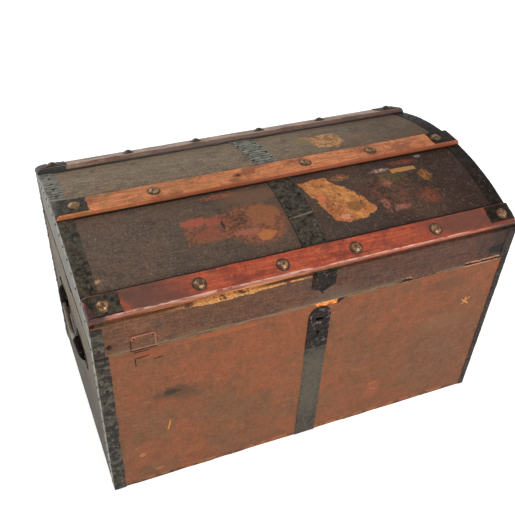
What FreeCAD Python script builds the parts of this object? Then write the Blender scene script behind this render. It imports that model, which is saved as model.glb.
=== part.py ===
import FreeCAD, Part
import math
import os

# Dome-top steamer trunk, built of boards covered with canvas, bound with sheet iron, and
# carrying three hardwood slats along its lid. Millimetres. X runs along the trunk, -Y is the
# front with the lock, +Z is up. The origin is the centre of the footprint on the floor.

# Driving dimensions
LENGTH = 850.0            # over the canvas, along X
DEPTH = 492.0             # over the canvas, along Y
BODY_TOP = 392.8          # rim of the body
LID_BOTTOM = 394.0        # rim of the lid
DOME_APEX = 521.0         # top of the canvas on the lid
DOME_RADIUS = 575.0       # outside of the canvas on the lid
BOARD = 12.0              # thickness of every board
CANVAS = 1.0              # thickness of the painted canvas
IRON = 1.0                # thickness of the sheet iron
CANVAS_BOTTOM = 0.5       # the canvas stops just above the floor

SLAT_WIDTH = 47.0
SLAT_THICKNESS = 11.5
SLAT_EDGE_RADIUS = 2.5
SLAT_END_RADIUS = 10.0    # rounding at the ends, under the caps
SLAT_TILTS = {            # degrees from straight up, leaned towards the front
    "front": 22.3,
    "center": -0.7,
    "back": -22.85,
}
CAP_LENGTH = 60.0         # iron cap on the end of a slat
CAP_CORNER_CUT = 20.0     # slanting edge of the front left cap

NAIL_HEAD_RADIUS = 12.0
NAIL_HEAD_HEIGHT = 6.0
NAIL_SHANK_RADIUS = 2.0
NAIL_SHANK_LENGTH = 22.0
NAIL_POSITIONS = {        # set by eye along each slat; one has gone from the centre slat
    "front": (-395.0, -228.0, -72.0, 75.0, 246.0, 398.0),
    "center": (-388.0, -239.0, 74.0, 222.0, 380.0),
    "back": (-393.0, -233.0, -83.0, 66.0, 216.0, 392.0),
}
LOST_NAIL_HOLE = -70.0    # the hole that the missing nail left

TACK_HEAD_RADIUS = 3.0
TACK_HEAD_HEIGHT = 1.4
TACK_SHANK_RADIUS = 0.8
TACK_SHANK_LENGTH = 8.0
TACK_PITCH = 33.0
SIDE_TACK_START = 18.0    # from a corner iron's ends to its first tacks, on the trunk's ends
FACE_TACK_START = 30.0    # and on its front and back
BAND_TACK_INSET = 5.0     # from a centre band's edges
BAND_TACK_START = 15.0    # from the front band's ends
BAND_TACK_PITCH = 26.0
DOME_TACK_ANGLES = (4.0, 18.6)    # degrees from the top, between two slats
END_TACK_ANGLE = 23.0     # degrees, the last tack on an edge band's end leg
END_TACK_DROP = 15.0      # from the dome down to those tacks

CORNER_LEG = 25.0         # width of a corner iron's leg
RIGHT_FRONT_LEG = 14.0    # the front right corner iron is cut narrower
LID_CORNER_FRONT_LEG = 20.0
LID_CORNER_TOP = 464.0
LID_CORNER_TACK_RISE = 14.0
EDGE_BAND_WIDTH = 30.0    # leg of the lid's edge band that lies on the dome
EDGE_BAND_DROP = 26.0     # leg that lies on the end of the lid

BAND_LEFT = -20.0         # centre band on the body's front
BAND_RIGHT = 27.0
LID_BAND_LEFT = -17.0     # centre band over the dome
LID_BAND_RIGHT = 33.0
LOCK_PLATE_BOTTOM = 275.0
LOCK_PLATE_TOP = 384.0
LOCK_PLATE_THICKNESS = 1.5
LOCK_RIVET_INSET = 6.0
LOCK_RIVET_HEIGHTS = (284.0, 319.0, 344.0)
KEYHOLE_Z = 318.0
KEYHOLE_RADIUS = 3.5
KEY_SLOT_WIDTH = 4.0
KEY_SLOT_DROP = 9.0
STAPLE_Z = 352.0
STAPLE_SLOT_WIDTH = 16.0
STAPLE_SLOT_HEIGHT = 8.0

HASP_OUTLINE = ((-21, 433), (-5, 429), (4, 416), (12, 430), (27, 434), (27, 464), (-21, 464))
HASP_RIVET_POSITIONS = (-14.0, 20.0)
HASP_RIVET_HEIGHTS = (440.0, 457.0)
TAB_LEFT = -361.0         # plate on the lid's front, near its left end
TAB_RIGHT = -316.0
TAB_HEIGHT = 34.0
TAB_TACK_INSET = 6.0
CATCH_PLATE_NEAR = -12.0  # plates on the rims of the body's ends, along Y
CATCH_PLATE_FAR = -50.0
CATCH_PLATE_HEIGHT = 12.0

LOCK_CASE_WIDTH = 64.0
LOCK_CASE_BOTTOM = 300.0
LOCK_CASE_TOP = 372.0
LOCK_CASE_DEPTH = 14.0
LOCK_CASE_WALL = 1.5
BOLT_RAIL = 2.0           # thickness of the shelf and guide on either side of the bolt
BOLT_LENGTH = 20.0
BOLT_HEIGHT = 10.0
BOLT_THICKNESS = 5.0
BOLT_CLEARANCE = 0.4

HANDLE_Z = 262.0          # axis of the handles' ends
HANDLE_OFFSET = 7.0       # from the canvas out to that axis
HANDLE_HALF_SPAN = 50.0   # from the middle to a cap's mouth
HANDLE_SAG = 34.0         # how far the grip hangs below its axis
HANDLE_GRIP_WIDTH = 18.0
HANDLE_GRIP_THICKNESS = 9.0
HANDLE_END_RADIUS = 5.0
HANDLE_END_LENGTH = 40.0
HOOD_CLEARANCE = 0.5
HOOD_WALL = 1.2
HOOD_LENGTH = 52.0
CAP_PLATE_NEAR = 45.0
CAP_PLATE_FAR = 130.0
CAP_PLATE_HEIGHT = 44.0
CAP_NAIL_INSET_Y = 8.0
CAP_NAIL_INSET_Z = 7.0

HINGE_X = 260.0
HINGE_WIDTH = 50.0
HINGE_THICKNESS = 2.0
HINGE_BODY_DROP = 62.0
HINGE_LID_RISE = 54.0
HINGE_PIN_RADIUS = 2.0
HINGE_KNUCKLE_RADIUS = 4.0
HINGE_RUNNING_CLEARANCE = 0.06
HINGE_SIDE_CLEARANCE = 0.3
HINGE_SCREW_INSET = 9.0
HINGE_SCREW_DROPS = (18.0, 49.0)    # from the body's rim
HINGE_SCREW_RISES = (14.0, 45.0)    # from the lid's rim
SCREW_HEAD_RADIUS = 4.0
SCREW_HEAD_HEIGHT = 1.6
SCREW_SHANK_RADIUS = 1.6

# Worked out from them
HALF_LENGTH = LENGTH / 2
HALF_DEPTH = DEPTH / 2
WOOD_X = HALF_LENGTH - CANVAS
WOOD_Y = HALF_DEPTH - CANVAS
DOME_AXIS_Z = DOME_APEX - DOME_RADIUS
IRON_RADIUS = DOME_RADIUS + IRON
SLAT_RADIUS = DOME_RADIUS + SLAT_THICKNESS
CAP_RADIUS = SLAT_RADIUS + IRON
BAND_CENTER = (BAND_LEFT + BAND_RIGHT) / 2
HINGE_Y = HALF_DEPTH + HINGE_THICKNESS - 0.5 + HINGE_KNUCKLE_RADIUS
HINGE_Z = (BODY_TOP + LID_BOTTOM) / 2
HANDLE_X = HALF_LENGTH + HANDLE_OFFSET
CORNER_SWEEP = 27.0       # degrees, just past the dome's eaves

UP = FreeCAD.Vector(0, 0, 1)
FRONT = FreeCAD.Vector(0, -1, 0)
BACK = FreeCAD.Vector(0, 1, 0)
RIGHT = FreeCAD.Vector(1, 0, 0)

parts = {}


# General shapes

def point(x, y, z):
    return FreeCAD.Vector(x, y, z)


def box(x0, x1, y0, y1, z0, z1):
    """Block between two corners, given in any order."""
    low = point(min(x0, x1), min(y0, y1), min(z0, z1))
    return Part.makeBox(abs(x1 - x0), abs(y1 - y0), abs(z1 - z0), low)


def face_of(points):
    return Part.Face(Part.makePolygon(points + points[:1]))


def arc_edge(start, middle, end):
    return Part.Arc(start, middle, end).toShape()


def on_dome(radius, angle, x=0.0):
    """Point at a radius from the dome's axis; the angle leans from straight up to the front."""
    turn = math.radians(angle)
    return point(x, -radius * math.sin(turn), DOME_AXIS_Z + radius * math.cos(turn))


def dome_normal(angle):
    return on_dome(1.0, angle) - on_dome(0.0, angle)


def dome_sector(inner, outer, angle_0, angle_1, x0, x1):
    """Slice of a tube about the dome's axis, between two angles and two stations along X."""
    middle = (angle_0 + angle_1) / 2
    edges = [
        arc_edge(on_dome(inner, angle_0, x0), on_dome(inner, middle, x0), on_dome(inner, angle_1, x0)),
        Part.makeLine(on_dome(inner, angle_1, x0), on_dome(outer, angle_1, x0)),
        arc_edge(on_dome(outer, angle_1, x0), on_dome(outer, middle, x0), on_dome(outer, angle_0, x0)),
        Part.makeLine(on_dome(outer, angle_0, x0), on_dome(inner, angle_0, x0)),
    ]
    return Part.Face(Part.Wire(edges)).extrude(RIGHT * (x1 - x0))


def arch(radius, half_depth, x0, x1):
    """Solid block with the lid's section: flat at its rim, and domed to a radius above."""
    angle = math.degrees(math.asin(half_depth / radius))
    front_eave = on_dome(radius, angle, x0)
    back_eave = on_dome(radius, -angle, x0)
    front_rim = point(x0, -half_depth, LID_BOTTOM)
    back_rim = point(x0, half_depth, LID_BOTTOM)
    edges = [
        Part.makeLine(front_rim, front_eave),
        arc_edge(front_eave, on_dome(radius, 0.0, x0), back_eave),
        Part.makeLine(back_eave, back_rim),
        Part.makeLine(back_rim, front_rim),
    ]
    return Part.Face(Part.Wire(edges)).extrude(RIGHT * (x1 - x0))


def tilted(shape, angle):
    """The shape leaned about the dome's axis, from the top of the dome towards the front."""
    turned = shape.copy()
    turned.rotate(point(0, 0, DOME_AXIS_Z), RIGHT, angle)
    return turned


def facing(shape, position, direction):
    """The shape, made at the origin along +Z, moved to a position and turned to a direction."""
    placed = shape.copy()
    placed.Placement = FreeCAD.Placement(position, FreeCAD.Rotation(UP, direction))
    return placed


def domed_pin(head_radius, head_height, shank_radius, shank_length):
    """Nail, tack, rivet or screw: a domed head on z = 0 and a shank below it."""
    ball_radius = (head_radius ** 2 + head_height ** 2) / (2 * head_height)
    ball = Part.makeSphere(ball_radius, point(0, 0, head_height - ball_radius))
    head = ball.common(Part.makeCylinder(head_radius + 1, head_height + 1))
    shank = Part.makeCylinder(shank_radius, shank_length, point(0, 0, -shank_length))
    return head.fuse(shank).Solids[0]


NAIL = domed_pin(NAIL_HEAD_RADIUS, NAIL_HEAD_HEIGHT, NAIL_SHANK_RADIUS, NAIL_SHANK_LENGTH)
TACK = domed_pin(TACK_HEAD_RADIUS, TACK_HEAD_HEIGHT, TACK_SHANK_RADIUS, TACK_SHANK_LENGTH)
SCREW = domed_pin(SCREW_HEAD_RADIUS, SCREW_HEAD_HEIGHT, SCREW_SHANK_RADIUS, TACK_SHANK_LENGTH)


class Fasteners:
    """Pins of one kind that share a node, and the shanks that pierce what they hold."""

    def __init__(self):
        self.solids = []
        self.shanks = []

    def drive(self, pin, position, direction, shank_radius, shank_length):
        self.solids.append(facing(pin, position, direction))
        self.bore(position, direction, shank_radius, shank_length)

    def bore(self, position, direction, shank_radius, shank_length):
        self.shanks.append(Part.makeCylinder(shank_radius, shank_length, position, direction * -1))

    def tack(self, position, direction):
        self.drive(TACK, position, direction, TACK_SHANK_RADIUS, TACK_SHANK_LENGTH)

    def screw(self, position, direction):
        self.drive(SCREW, position, direction, SCREW_SHANK_RADIUS, TACK_SHANK_LENGTH)


def pierced(shape, fasteners):
    """The shape with a hole for every shank that reaches it."""
    shanks = [s for group in fasteners for s in group.shanks if shape.BoundBox.intersect(s.BoundBox)]
    if not shanks:
        return shape
    return shape.cut(shanks)


def steps(low, high, pitch):
    """Evenly spaced stations from low to high, both included, no further apart than the pitch."""
    count = max(1, math.ceil((high - low) / pitch))
    return [low + (high - low) * i / count for i in range(count + 1)]


# Boards and canvas

def make_body_boards():
    inner_y = WOOD_Y - BOARD
    parts["bottom_board"] = box(-WOOD_X, WOOD_X, -WOOD_Y, WOOD_Y, 0, BOARD)
    parts["front_panel"] = box(-WOOD_X, WOOD_X, -WOOD_Y, -inner_y, BOARD, BODY_TOP)
    parts["back_panel"] = box(-WOOD_X, WOOD_X, inner_y, WOOD_Y, BOARD, BODY_TOP)
    for side, sign in (("left", -1), ("right", 1)):
        outer = sign * WOOD_X
        inner = sign * (WOOD_X - BOARD)
        parts[side + "_end_panel"] = box(inner, outer, -inner_y, inner_y, BOARD, BODY_TOP)


def make_body_canvas():
    outside = box(-HALF_LENGTH, HALF_LENGTH, -HALF_DEPTH, HALF_DEPTH, CANVAS_BOTTOM, BODY_TOP)
    inside = box(-WOOD_X, WOOD_X, -WOOD_Y, WOOD_Y, CANVAS_BOTTOM, BODY_TOP)
    parts["body_canvas"] = outside.cut(inside)


def make_lid_boards():
    inner_y = WOOD_Y - BOARD
    inner_radius = DOME_RADIUS - CANVAS - BOARD
    under_dome = arch(inner_radius, WOOD_Y, -WOOD_X, WOOD_X)
    front = box(-WOOD_X, WOOD_X, -WOOD_Y, -inner_y, LID_BOTTOM, DOME_APEX)
    back = box(-WOOD_X, WOOD_X, inner_y, WOOD_Y, LID_BOTTOM, DOME_APEX)
    parts["lid_front_board"] = front.common(under_dome)
    parts["lid_back_board"] = back.common(under_dome)
    for side, sign in (("left", -1), ("right", 1)):
        outer = sign * WOOD_X
        inner = sign * (WOOD_X - BOARD)
        blank = box(inner, outer, -inner_y, inner_y, LID_BOTTOM, DOME_APEX)
        parts["lid_" + side + "_end_board"] = blank.common(under_dome)
    parts["lid_dome_panel"] = arch(DOME_RADIUS - CANVAS, WOOD_Y, -WOOD_X, WOOD_X).cut(under_dome)


def make_lid_canvas():
    over = arch(DOME_RADIUS, HALF_DEPTH, -WOOD_X, WOOD_X)
    under = arch(DOME_RADIUS - CANVAS, WOOD_Y, -WOOD_X, WOOD_X)
    parts["lid_top_canvas"] = over.cut(under)
    parts["lid_left_end_canvas"] = arch(DOME_RADIUS, HALF_DEPTH, -HALF_LENGTH, -WOOD_X)
    parts["lid_right_end_canvas"] = arch(DOME_RADIUS, HALF_DEPTH, WOOD_X, HALF_LENGTH)


# Ironwork of the body

def corner_iron(x_sign, y_sign, front_leg, end_leg, z0, z1):
    """Angle of sheet iron over a vertical corner of the canvas."""
    corner_x = x_sign * HALF_LENGTH
    corner_y = y_sign * HALF_DEPTH
    outer_x = corner_x + x_sign * IRON
    outer_y = corner_y + y_sign * IRON
    face_leg = box(corner_x - x_sign * front_leg, outer_x, corner_y, outer_y, z0, z1)
    side_leg = box(corner_x, outer_x, corner_y - y_sign * end_leg, corner_y, z0, z1)
    return face_leg.fuse(side_leg).removeSplitter()


def make_body_corners(tacks):
    for side, x_sign in (("left", -1), ("right", 1)):
        for face, y_sign in (("front", -1), ("back", 1)):
            narrow = side == "right" and face == "front"
            front_leg = RIGHT_FRONT_LEG if narrow else CORNER_LEG
            iron = corner_iron(x_sign, y_sign, front_leg, CORNER_LEG, CANVAS_BOTTOM, BODY_TOP)
            parts[face + "_" + side + "_corner_iron"] = iron
            side_x = x_sign * (HALF_LENGTH + IRON)
            side_y = y_sign * (HALF_DEPTH - CORNER_LEG / 2)
            for z in steps(SIDE_TACK_START, BODY_TOP - SIDE_TACK_START, TACK_PITCH):
                tacks.tack(point(side_x, side_y, z), RIGHT * x_sign)
            face_x = x_sign * (HALF_LENGTH - front_leg / 2 - 1)
            face_y = y_sign * (HALF_DEPTH + IRON)
            for z in steps(FACE_TACK_START, BODY_TOP - FACE_TACK_START, TACK_PITCH * 2):
                tacks.tack(point(face_x, face_y, z), BACK * y_sign)


def make_front_band(tacks):
    front = -HALF_DEPTH
    band = box(BAND_LEFT, BAND_RIGHT, front - IRON, front, CANVAS_BOTTOM, LOCK_PLATE_BOTTOM)
    parts["front_center_band"] = band
    for x in (BAND_LEFT + BAND_TACK_INSET, BAND_RIGHT - BAND_TACK_INSET):
        for z in steps(BAND_TACK_START, LOCK_PLATE_BOTTOM - BAND_TACK_START, BAND_TACK_PITCH):
            tacks.tack(point(x, front - IRON, z), FRONT)


def make_catch_plates():
    plates = []
    for x_sign in (-1, 1):
        plates.append(box(x_sign * HALF_LENGTH, x_sign * (HALF_LENGTH + IRON), CATCH_PLATE_FAR,
                          CATCH_PLATE_NEAR, BODY_TOP - CATCH_PLATE_HEIGHT, BODY_TOP))
    parts["end_catch_plates"] = Part.makeCompound(plates)


# Lock

def keyhole(y0, y1):
    """Round hole with a slot below it, along Y."""
    hole = Part.makeCylinder(KEYHOLE_RADIUS, y1 - y0, point(BAND_CENTER, y0, KEYHOLE_Z), BACK)
    half = KEY_SLOT_WIDTH / 2
    slot = box(BAND_CENTER - half, BAND_CENTER + half, y0, y1, KEYHOLE_Z - KEY_SLOT_DROP, KEYHOLE_Z)
    return hole.fuse(slot)


def staple_slot(y0, y1):
    half = STAPLE_SLOT_WIDTH / 2
    z0 = STAPLE_Z - STAPLE_SLOT_HEIGHT / 2
    return box(BAND_CENTER - half, BAND_CENTER + half, y0, y1, z0, z0 + STAPLE_SLOT_HEIGHT)


def make_lock(rivets):
    front = -HALF_DEPTH
    outer = front - LOCK_PLATE_THICKNESS
    inner_face = -WOOD_Y + BOARD
    half = (BAND_RIGHT - BAND_LEFT) / 2
    shoulder = LOCK_PLATE_TOP - half
    plate = box(BAND_LEFT, BAND_RIGHT, outer, front, LOCK_PLATE_BOTTOM, shoulder)
    crown = Part.makeCylinder(half, LOCK_PLATE_THICKNESS, point(BAND_CENTER, outer, shoulder), BACK)
    openings = [keyhole(outer, inner_face), staple_slot(outer, inner_face)]
    parts["lock_plate"] = plate.fuse(crown).removeSplitter().cut(openings)
    for name in ("body_canvas", "front_panel"):
        parts[name] = parts[name].cut(openings)
    for x in (BAND_LEFT + LOCK_RIVET_INSET, BAND_RIGHT - LOCK_RIVET_INSET):
        for z in LOCK_RIVET_HEIGHTS:
            rivets.tack(point(x, outer, z), FRONT)

    case_x0 = BAND_CENTER - LOCK_CASE_WIDTH / 2
    case_x1 = BAND_CENTER + LOCK_CASE_WIDTH / 2
    back = inner_face + LOCK_CASE_DEPTH
    wall = LOCK_CASE_WALL
    shell = box(case_x0, case_x1, inner_face, back, LOCK_CASE_BOTTOM, LOCK_CASE_TOP)
    hollow = box(case_x0 + wall, case_x1 - wall, inner_face, back - wall,
                 LOCK_CASE_BOTTOM + wall, LOCK_CASE_TOP - wall)
    shelf_top = STAPLE_Z - BOLT_HEIGHT / 2 - BOLT_CLEARANCE
    guide_bottom = STAPLE_Z + BOLT_HEIGHT / 2 + BOLT_CLEARANCE
    rail_y = inner_face + BOLT_RAIL
    shelf = box(case_x0, case_x1, rail_y, back, shelf_top - BOLT_RAIL, shelf_top)
    guide = box(case_x0, case_x1, rail_y, back, guide_bottom, guide_bottom + BOLT_RAIL)
    parts["lock_case"] = shell.cut(hollow).fuse([shelf, guide]).removeSplitter()

    bolt_x = case_x0 + wall + BOLT_CLEARANCE
    bolt_back = back - wall - BOLT_CLEARANCE
    parts["lock_bolt"] = box(bolt_x, bolt_x + BOLT_LENGTH, bolt_back - BOLT_THICKNESS,
                             bolt_back, STAPLE_Z - BOLT_HEIGHT / 2, STAPLE_Z + BOLT_HEIGHT / 2)


# Handles

def handle(x_sign):
    """Leather grip that hangs in a shallow bow, with a round end for each cap."""
    axis_x = x_sign * HANDLE_X
    bow_radius = (HANDLE_HALF_SPAN ** 2 + HANDLE_SAG ** 2) / (2 * HANDLE_SAG)
    center_z = HANDLE_Z - HANDLE_SAG + bow_radius
    half_width = HANDLE_GRIP_WIDTH / 2
    start_x = axis_x - HANDLE_GRIP_THICKNESS / 2

    def on_bow(radius, y):
        return point(start_x, y, center_z - math.sqrt(radius ** 2 - y ** 2))

    inner = bow_radius - half_width
    outer = bow_radius + half_width
    inner_y = HANDLE_HALF_SPAN * inner / bow_radius
    outer_y = HANDLE_HALF_SPAN * outer / bow_radius
    edges = [
        arc_edge(on_bow(inner, -inner_y), on_bow(inner, 0), on_bow(inner, inner_y)),
        Part.makeLine(on_bow(inner, inner_y), on_bow(outer, outer_y)),
        arc_edge(on_bow(outer, outer_y), on_bow(outer, 0), on_bow(outer, -outer_y)),
        Part.makeLine(on_bow(outer, -outer_y), on_bow(inner, -inner_y)),
    ]
    grip = Part.Face(Part.Wire(edges)).extrude(RIGHT * HANDLE_GRIP_THICKNESS)
    ends = []
    for y_sign in (-1, 1):
        start = point(axis_x, y_sign * (HANDLE_HALF_SPAN - 6), HANDLE_Z)
        ends.append(Part.makeCylinder(HANDLE_END_RADIUS, HANDLE_END_LENGTH, start, BACK * y_sign))
    return grip.fuse(ends).removeSplitter()


def handle_cap(x_sign, y_sign):
    """Iron plate with a hood over one end of a handle; the hood's mouth faces the other cap."""
    face_x = x_sign * HALF_LENGTH
    plate = box(face_x, face_x + x_sign * HOOD_WALL, y_sign * CAP_PLATE_NEAR, y_sign * CAP_PLATE_FAR,
                HANDLE_Z - CAP_PLATE_HEIGHT / 2, HANDLE_Z + CAP_PLATE_HEIGHT / 2)
    bore_radius = HANDLE_END_RADIUS + HOOD_CLEARANCE
    hood_radius = bore_radius + HOOD_WALL
    mouth = point(x_sign * HANDLE_X, y_sign * (HANDLE_HALF_SPAN + 10), HANDLE_Z)
    barrel = Part.makeCylinder(hood_radius, HOOD_LENGTH, mouth, BACK * y_sign)
    nose = Part.makeSphere(hood_radius, mouth + BACK * y_sign * HOOD_LENGTH)
    skirt = box(face_x, x_sign * HANDLE_X, mouth.y, mouth.y + y_sign * HOOD_LENGTH,
                HANDLE_Z - hood_radius, HANDLE_Z + hood_radius)
    bore = Part.makeCylinder(bore_radius, HOOD_LENGTH, mouth, BACK * y_sign)
    hood = barrel.fuse([nose, skirt])
    wall_side = box(face_x, face_x + x_sign * 40, -HALF_DEPTH, HALF_DEPTH, 0, BODY_TOP)
    return plate.fuse(hood.common(wall_side)).cut(bore).removeSplitter()


def make_handles(nails):
    for side, x_sign in (("left", -1), ("right", 1)):
        parts[side + "_handle"] = handle(x_sign)
        for face, y_sign in (("front", -1), ("back", 1)):
            parts[side + "_handle_cap_" + face] = handle_cap(x_sign, y_sign)
            outer_x = x_sign * (HALF_LENGTH + HOOD_WALL)
            rise = CAP_PLATE_HEIGHT / 2 - CAP_NAIL_INSET_Z
            for y in (CAP_PLATE_NEAR + CAP_NAIL_INSET_Y, CAP_PLATE_FAR - CAP_NAIL_INSET_Y):
                for z in (HANDLE_Z - rise, HANDLE_Z + rise):
                    nails.tack(point(outer_x, y_sign * y, z), RIGHT * x_sign)


# Hinges

def make_hinges(body_screws, lid_screws):
    third = HINGE_WIDTH / 3
    back = HALF_DEPTH
    leaf_y = back + HINGE_THICKNESS
    pins = []
    for side, x in (("left", -HINGE_X), ("right", HINGE_X)):
        x0 = x - HINGE_WIDTH / 2
        x1 = x + HINGE_WIDTH / 2
        gap = HINGE_SIDE_CLEARANCE
        middle = Part.makeCylinder(HINGE_KNUCKLE_RADIUS, third - 2 * gap,
                                   point(x0 + third + gap, HINGE_Y, HINGE_Z), RIGHT)
        outers = [Part.makeCylinder(HINGE_KNUCKLE_RADIUS, third, point(start, HINGE_Y, HINGE_Z), RIGHT)
                  for start in (x0, x1 - third)]
        swept = HINGE_KNUCKLE_RADIUS + HINGE_SIDE_CLEARANCE
        clear_middle = Part.makeCylinder(swept, third, point(x0 + third, HINGE_Y, HINGE_Z), RIGHT)
        clear_outers = [Part.makeCylinder(swept, third + gap, point(start, HINGE_Y, HINGE_Z), RIGHT)
                        for start in (x0, x1 - third - gap)]
        pin = Part.makeCylinder(HINGE_PIN_RADIUS, HINGE_WIDTH, point(x0, HINGE_Y, HINGE_Z), RIGHT)
        loose = Part.makeCylinder(HINGE_PIN_RADIUS + HINGE_RUNNING_CLEARANCE, HINGE_WIDTH,
                                  point(x0, HINGE_Y, HINGE_Z), RIGHT)
        pins.append(pin)

        low = box(x0, x1, back, leaf_y, BODY_TOP - HINGE_BODY_DROP, BODY_TOP)
        web = box(x0, x1, back, leaf_y, BODY_TOP - 2, HINGE_Z)
        body_leaf = low.cut(clear_middle).fuse(outers)
        body_leaf = body_leaf.fuse(web.cut(box(x0 + third, x1 - third, back, leaf_y, 0, HINGE_Z)))
        parts[side + "_hinge_body_leaf"] = body_leaf.removeSplitter().cut(pin)

        high = box(x0, x1, back, leaf_y, LID_BOTTOM, LID_BOTTOM + HINGE_LID_RISE)
        parts[side + "_hinge_lid_leaf"] = high.cut(clear_outers).fuse(middle).removeSplitter().cut(loose)

        for screw_x in (x0 + HINGE_SCREW_INSET, x1 - HINGE_SCREW_INSET):
            for drop, rise in zip(HINGE_SCREW_DROPS, HINGE_SCREW_RISES):
                body_screws.screw(point(screw_x, leaf_y, BODY_TOP - drop), BACK)
                lid_screws.screw(point(screw_x, leaf_y, LID_BOTTOM + rise), BACK)
    parts["hinge_pins"] = Part.makeCompound(pins)


# Ironwork of the lid

def tack_angles():
    """Angles for rows of tacks on the dome, in the two spaces between the slats."""
    low, high = DOME_TACK_ANGLES
    pitch = math.degrees(TACK_PITCH / DOME_RADIUS)
    return steps(low, high, pitch) + steps(-high, -low, pitch)


def make_edge_bands(tacks):
    drop_radius = IRON_RADIUS - EDGE_BAND_DROP
    for side, x_sign in (("left", -1), ("right", 1)):
        inner = x_sign * (HALF_LENGTH - EDGE_BAND_WIDTH)
        edge = x_sign * HALF_LENGTH
        outer = x_sign * (HALF_LENGTH + IRON)
        on_top = dome_sector(DOME_RADIUS, IRON_RADIUS, -CORNER_SWEEP, CORNER_SWEEP, inner, outer)
        on_end = dome_sector(drop_radius, DOME_RADIUS, -CORNER_SWEEP, CORNER_SWEEP, edge, outer)
        within = box(inner, outer, -HALF_DEPTH, HALF_DEPTH, LID_BOTTOM, DOME_APEX + IRON)
        parts["lid_" + side + "_edge_band"] = on_top.fuse(on_end).removeSplitter().common(within)
        top_x = x_sign * (HALF_LENGTH - EDGE_BAND_WIDTH / 2)
        for angle in tack_angles():
            tacks.tack(on_dome(IRON_RADIUS, angle, top_x), dome_normal(angle))
        for angle in steps(-END_TACK_ANGLE, END_TACK_ANGLE, math.degrees(TACK_PITCH / DOME_RADIUS)):
            tacks.tack(on_dome(DOME_RADIUS - END_TACK_DROP, angle, outer), RIGHT * x_sign)


def make_center_band(tacks):
    band = dome_sector(DOME_RADIUS, IRON_RADIUS, -CORNER_SWEEP, CORNER_SWEEP,
                       LID_BAND_LEFT, LID_BAND_RIGHT)
    within = box(LID_BAND_LEFT, LID_BAND_RIGHT, -HALF_DEPTH, HALF_DEPTH, LID_BOTTOM, DOME_APEX + IRON)
    parts["lid_center_band"] = band.common(within)
    for x in (LID_BAND_LEFT + BAND_TACK_INSET, LID_BAND_RIGHT - BAND_TACK_INSET):
        for angle in tack_angles():
            tacks.tack(on_dome(IRON_RADIUS, angle, x), dome_normal(angle))


def make_lid_corners(tacks):
    below_band = arch(IRON_RADIUS - EDGE_BAND_DROP, HALF_DEPTH + 2, -HALF_LENGTH - 2, HALF_LENGTH + 2)
    for side, x_sign in (("left", -1), ("right", 1)):
        for face, y_sign in (("front", -1), ("back", 1)):
            iron = corner_iron(x_sign, y_sign, LID_CORNER_FRONT_LEG, CORNER_LEG, LID_BOTTOM, LID_CORNER_TOP)
            parts["lid_" + face + "_" + side + "_corner_iron"] = iron.common(below_band)
            tack_z = LID_BOTTOM + LID_CORNER_TACK_RISE
            side_x = x_sign * (HALF_LENGTH + IRON)
            side_y = y_sign * (HALF_DEPTH - CORNER_LEG / 2)
            tacks.tack(point(side_x, side_y, tack_z), RIGHT * x_sign)
            face_x = x_sign * (HALF_LENGTH - LID_CORNER_FRONT_LEG / 2)
            tacks.tack(point(face_x, y_sign * (HALF_DEPTH + IRON), tack_z), BACK * y_sign)


def make_lid_front_iron(tacks, rivets):
    front = -HALF_DEPTH
    outer = front - IRON
    face = face_of([point(x, outer, z) for x, z in HASP_OUTLINE])
    parts["hasp_plate"] = face.extrude(BACK * IRON)
    for x in HASP_RIVET_POSITIONS:
        for z in HASP_RIVET_HEIGHTS:
            rivets.tack(point(x, outer, z), FRONT)
    tab_top = LID_BOTTOM + TAB_HEIGHT
    parts["lid_tab_plate"] = box(TAB_LEFT, TAB_RIGHT, outer, front, LID_BOTTOM, tab_top)
    for x in (TAB_LEFT + TAB_TACK_INSET, TAB_RIGHT - TAB_TACK_INSET):
        tacks.tack(point(x, outer, tab_top - TAB_TACK_INSET), FRONT)


# Slats of the lid

def long_block(half, low, high, cover):
    """Block as long as a slat, with its upper ends rounded; a cover's thickness makes it larger."""
    end = HALF_LENGTH + cover
    radius = SLAT_END_RADIUS + cover
    near = radius * (1 - math.sqrt(0.5))
    edges = [
        Part.makeLine(point(-end, -half, low), point(end, -half, low)),
        Part.makeLine(point(end, -half, low), point(end, -half, high - radius)),
        arc_edge(point(end, -half, high - radius), point(end - near, -half, high - near),
                 point(end - radius, -half, high)),
        Part.makeLine(point(end - radius, -half, high), point(radius - end, -half, high)),
        arc_edge(point(radius - end, -half, high), point(near - end, -half, high - near),
                 point(-end, -half, high - radius)),
        Part.makeLine(point(-end, -half, high - radius), point(-end, -half, low)),
    ]
    return Part.Face(Part.Wire(edges)).extrude(BACK * 2 * half)


def slat_blank():
    """Slat on top of the dome: hollowed to lie on the iron bands, flat above, with eased edges."""
    x0 = -HALF_LENGTH
    half = SLAT_WIDTH / 2
    ease = SLAT_EDGE_RADIUS
    near = ease * (1 - math.sqrt(0.5))
    top = DOME_AXIS_Z + SLAT_RADIUS
    seat = DOME_AXIS_Z + math.sqrt(IRON_RADIUS ** 2 - half ** 2)
    edges = [
        arc_edge(point(x0, -half, seat), point(x0, 0, DOME_AXIS_Z + IRON_RADIUS), point(x0, half, seat)),
        Part.makeLine(point(x0, half, seat), point(x0, half, top - ease)),
        arc_edge(point(x0, half, top - ease), point(x0, half - near, top - near),
                 point(x0, half - ease, top)),
        Part.makeLine(point(x0, half - ease, top), point(x0, ease - half, top)),
        arc_edge(point(x0, ease - half, top), point(x0, near - half, top - near),
                 point(x0, -half, top - ease)),
        Part.makeLine(point(x0, -half, top - ease), point(x0, -half, seat)),
    ]
    bar = Part.Face(Part.Wire(edges)).extrude(RIGHT * LENGTH)
    return bar.common(long_block(half, DOME_AXIS_Z + DOME_RADIUS - BOARD, top, 0.0))


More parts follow.
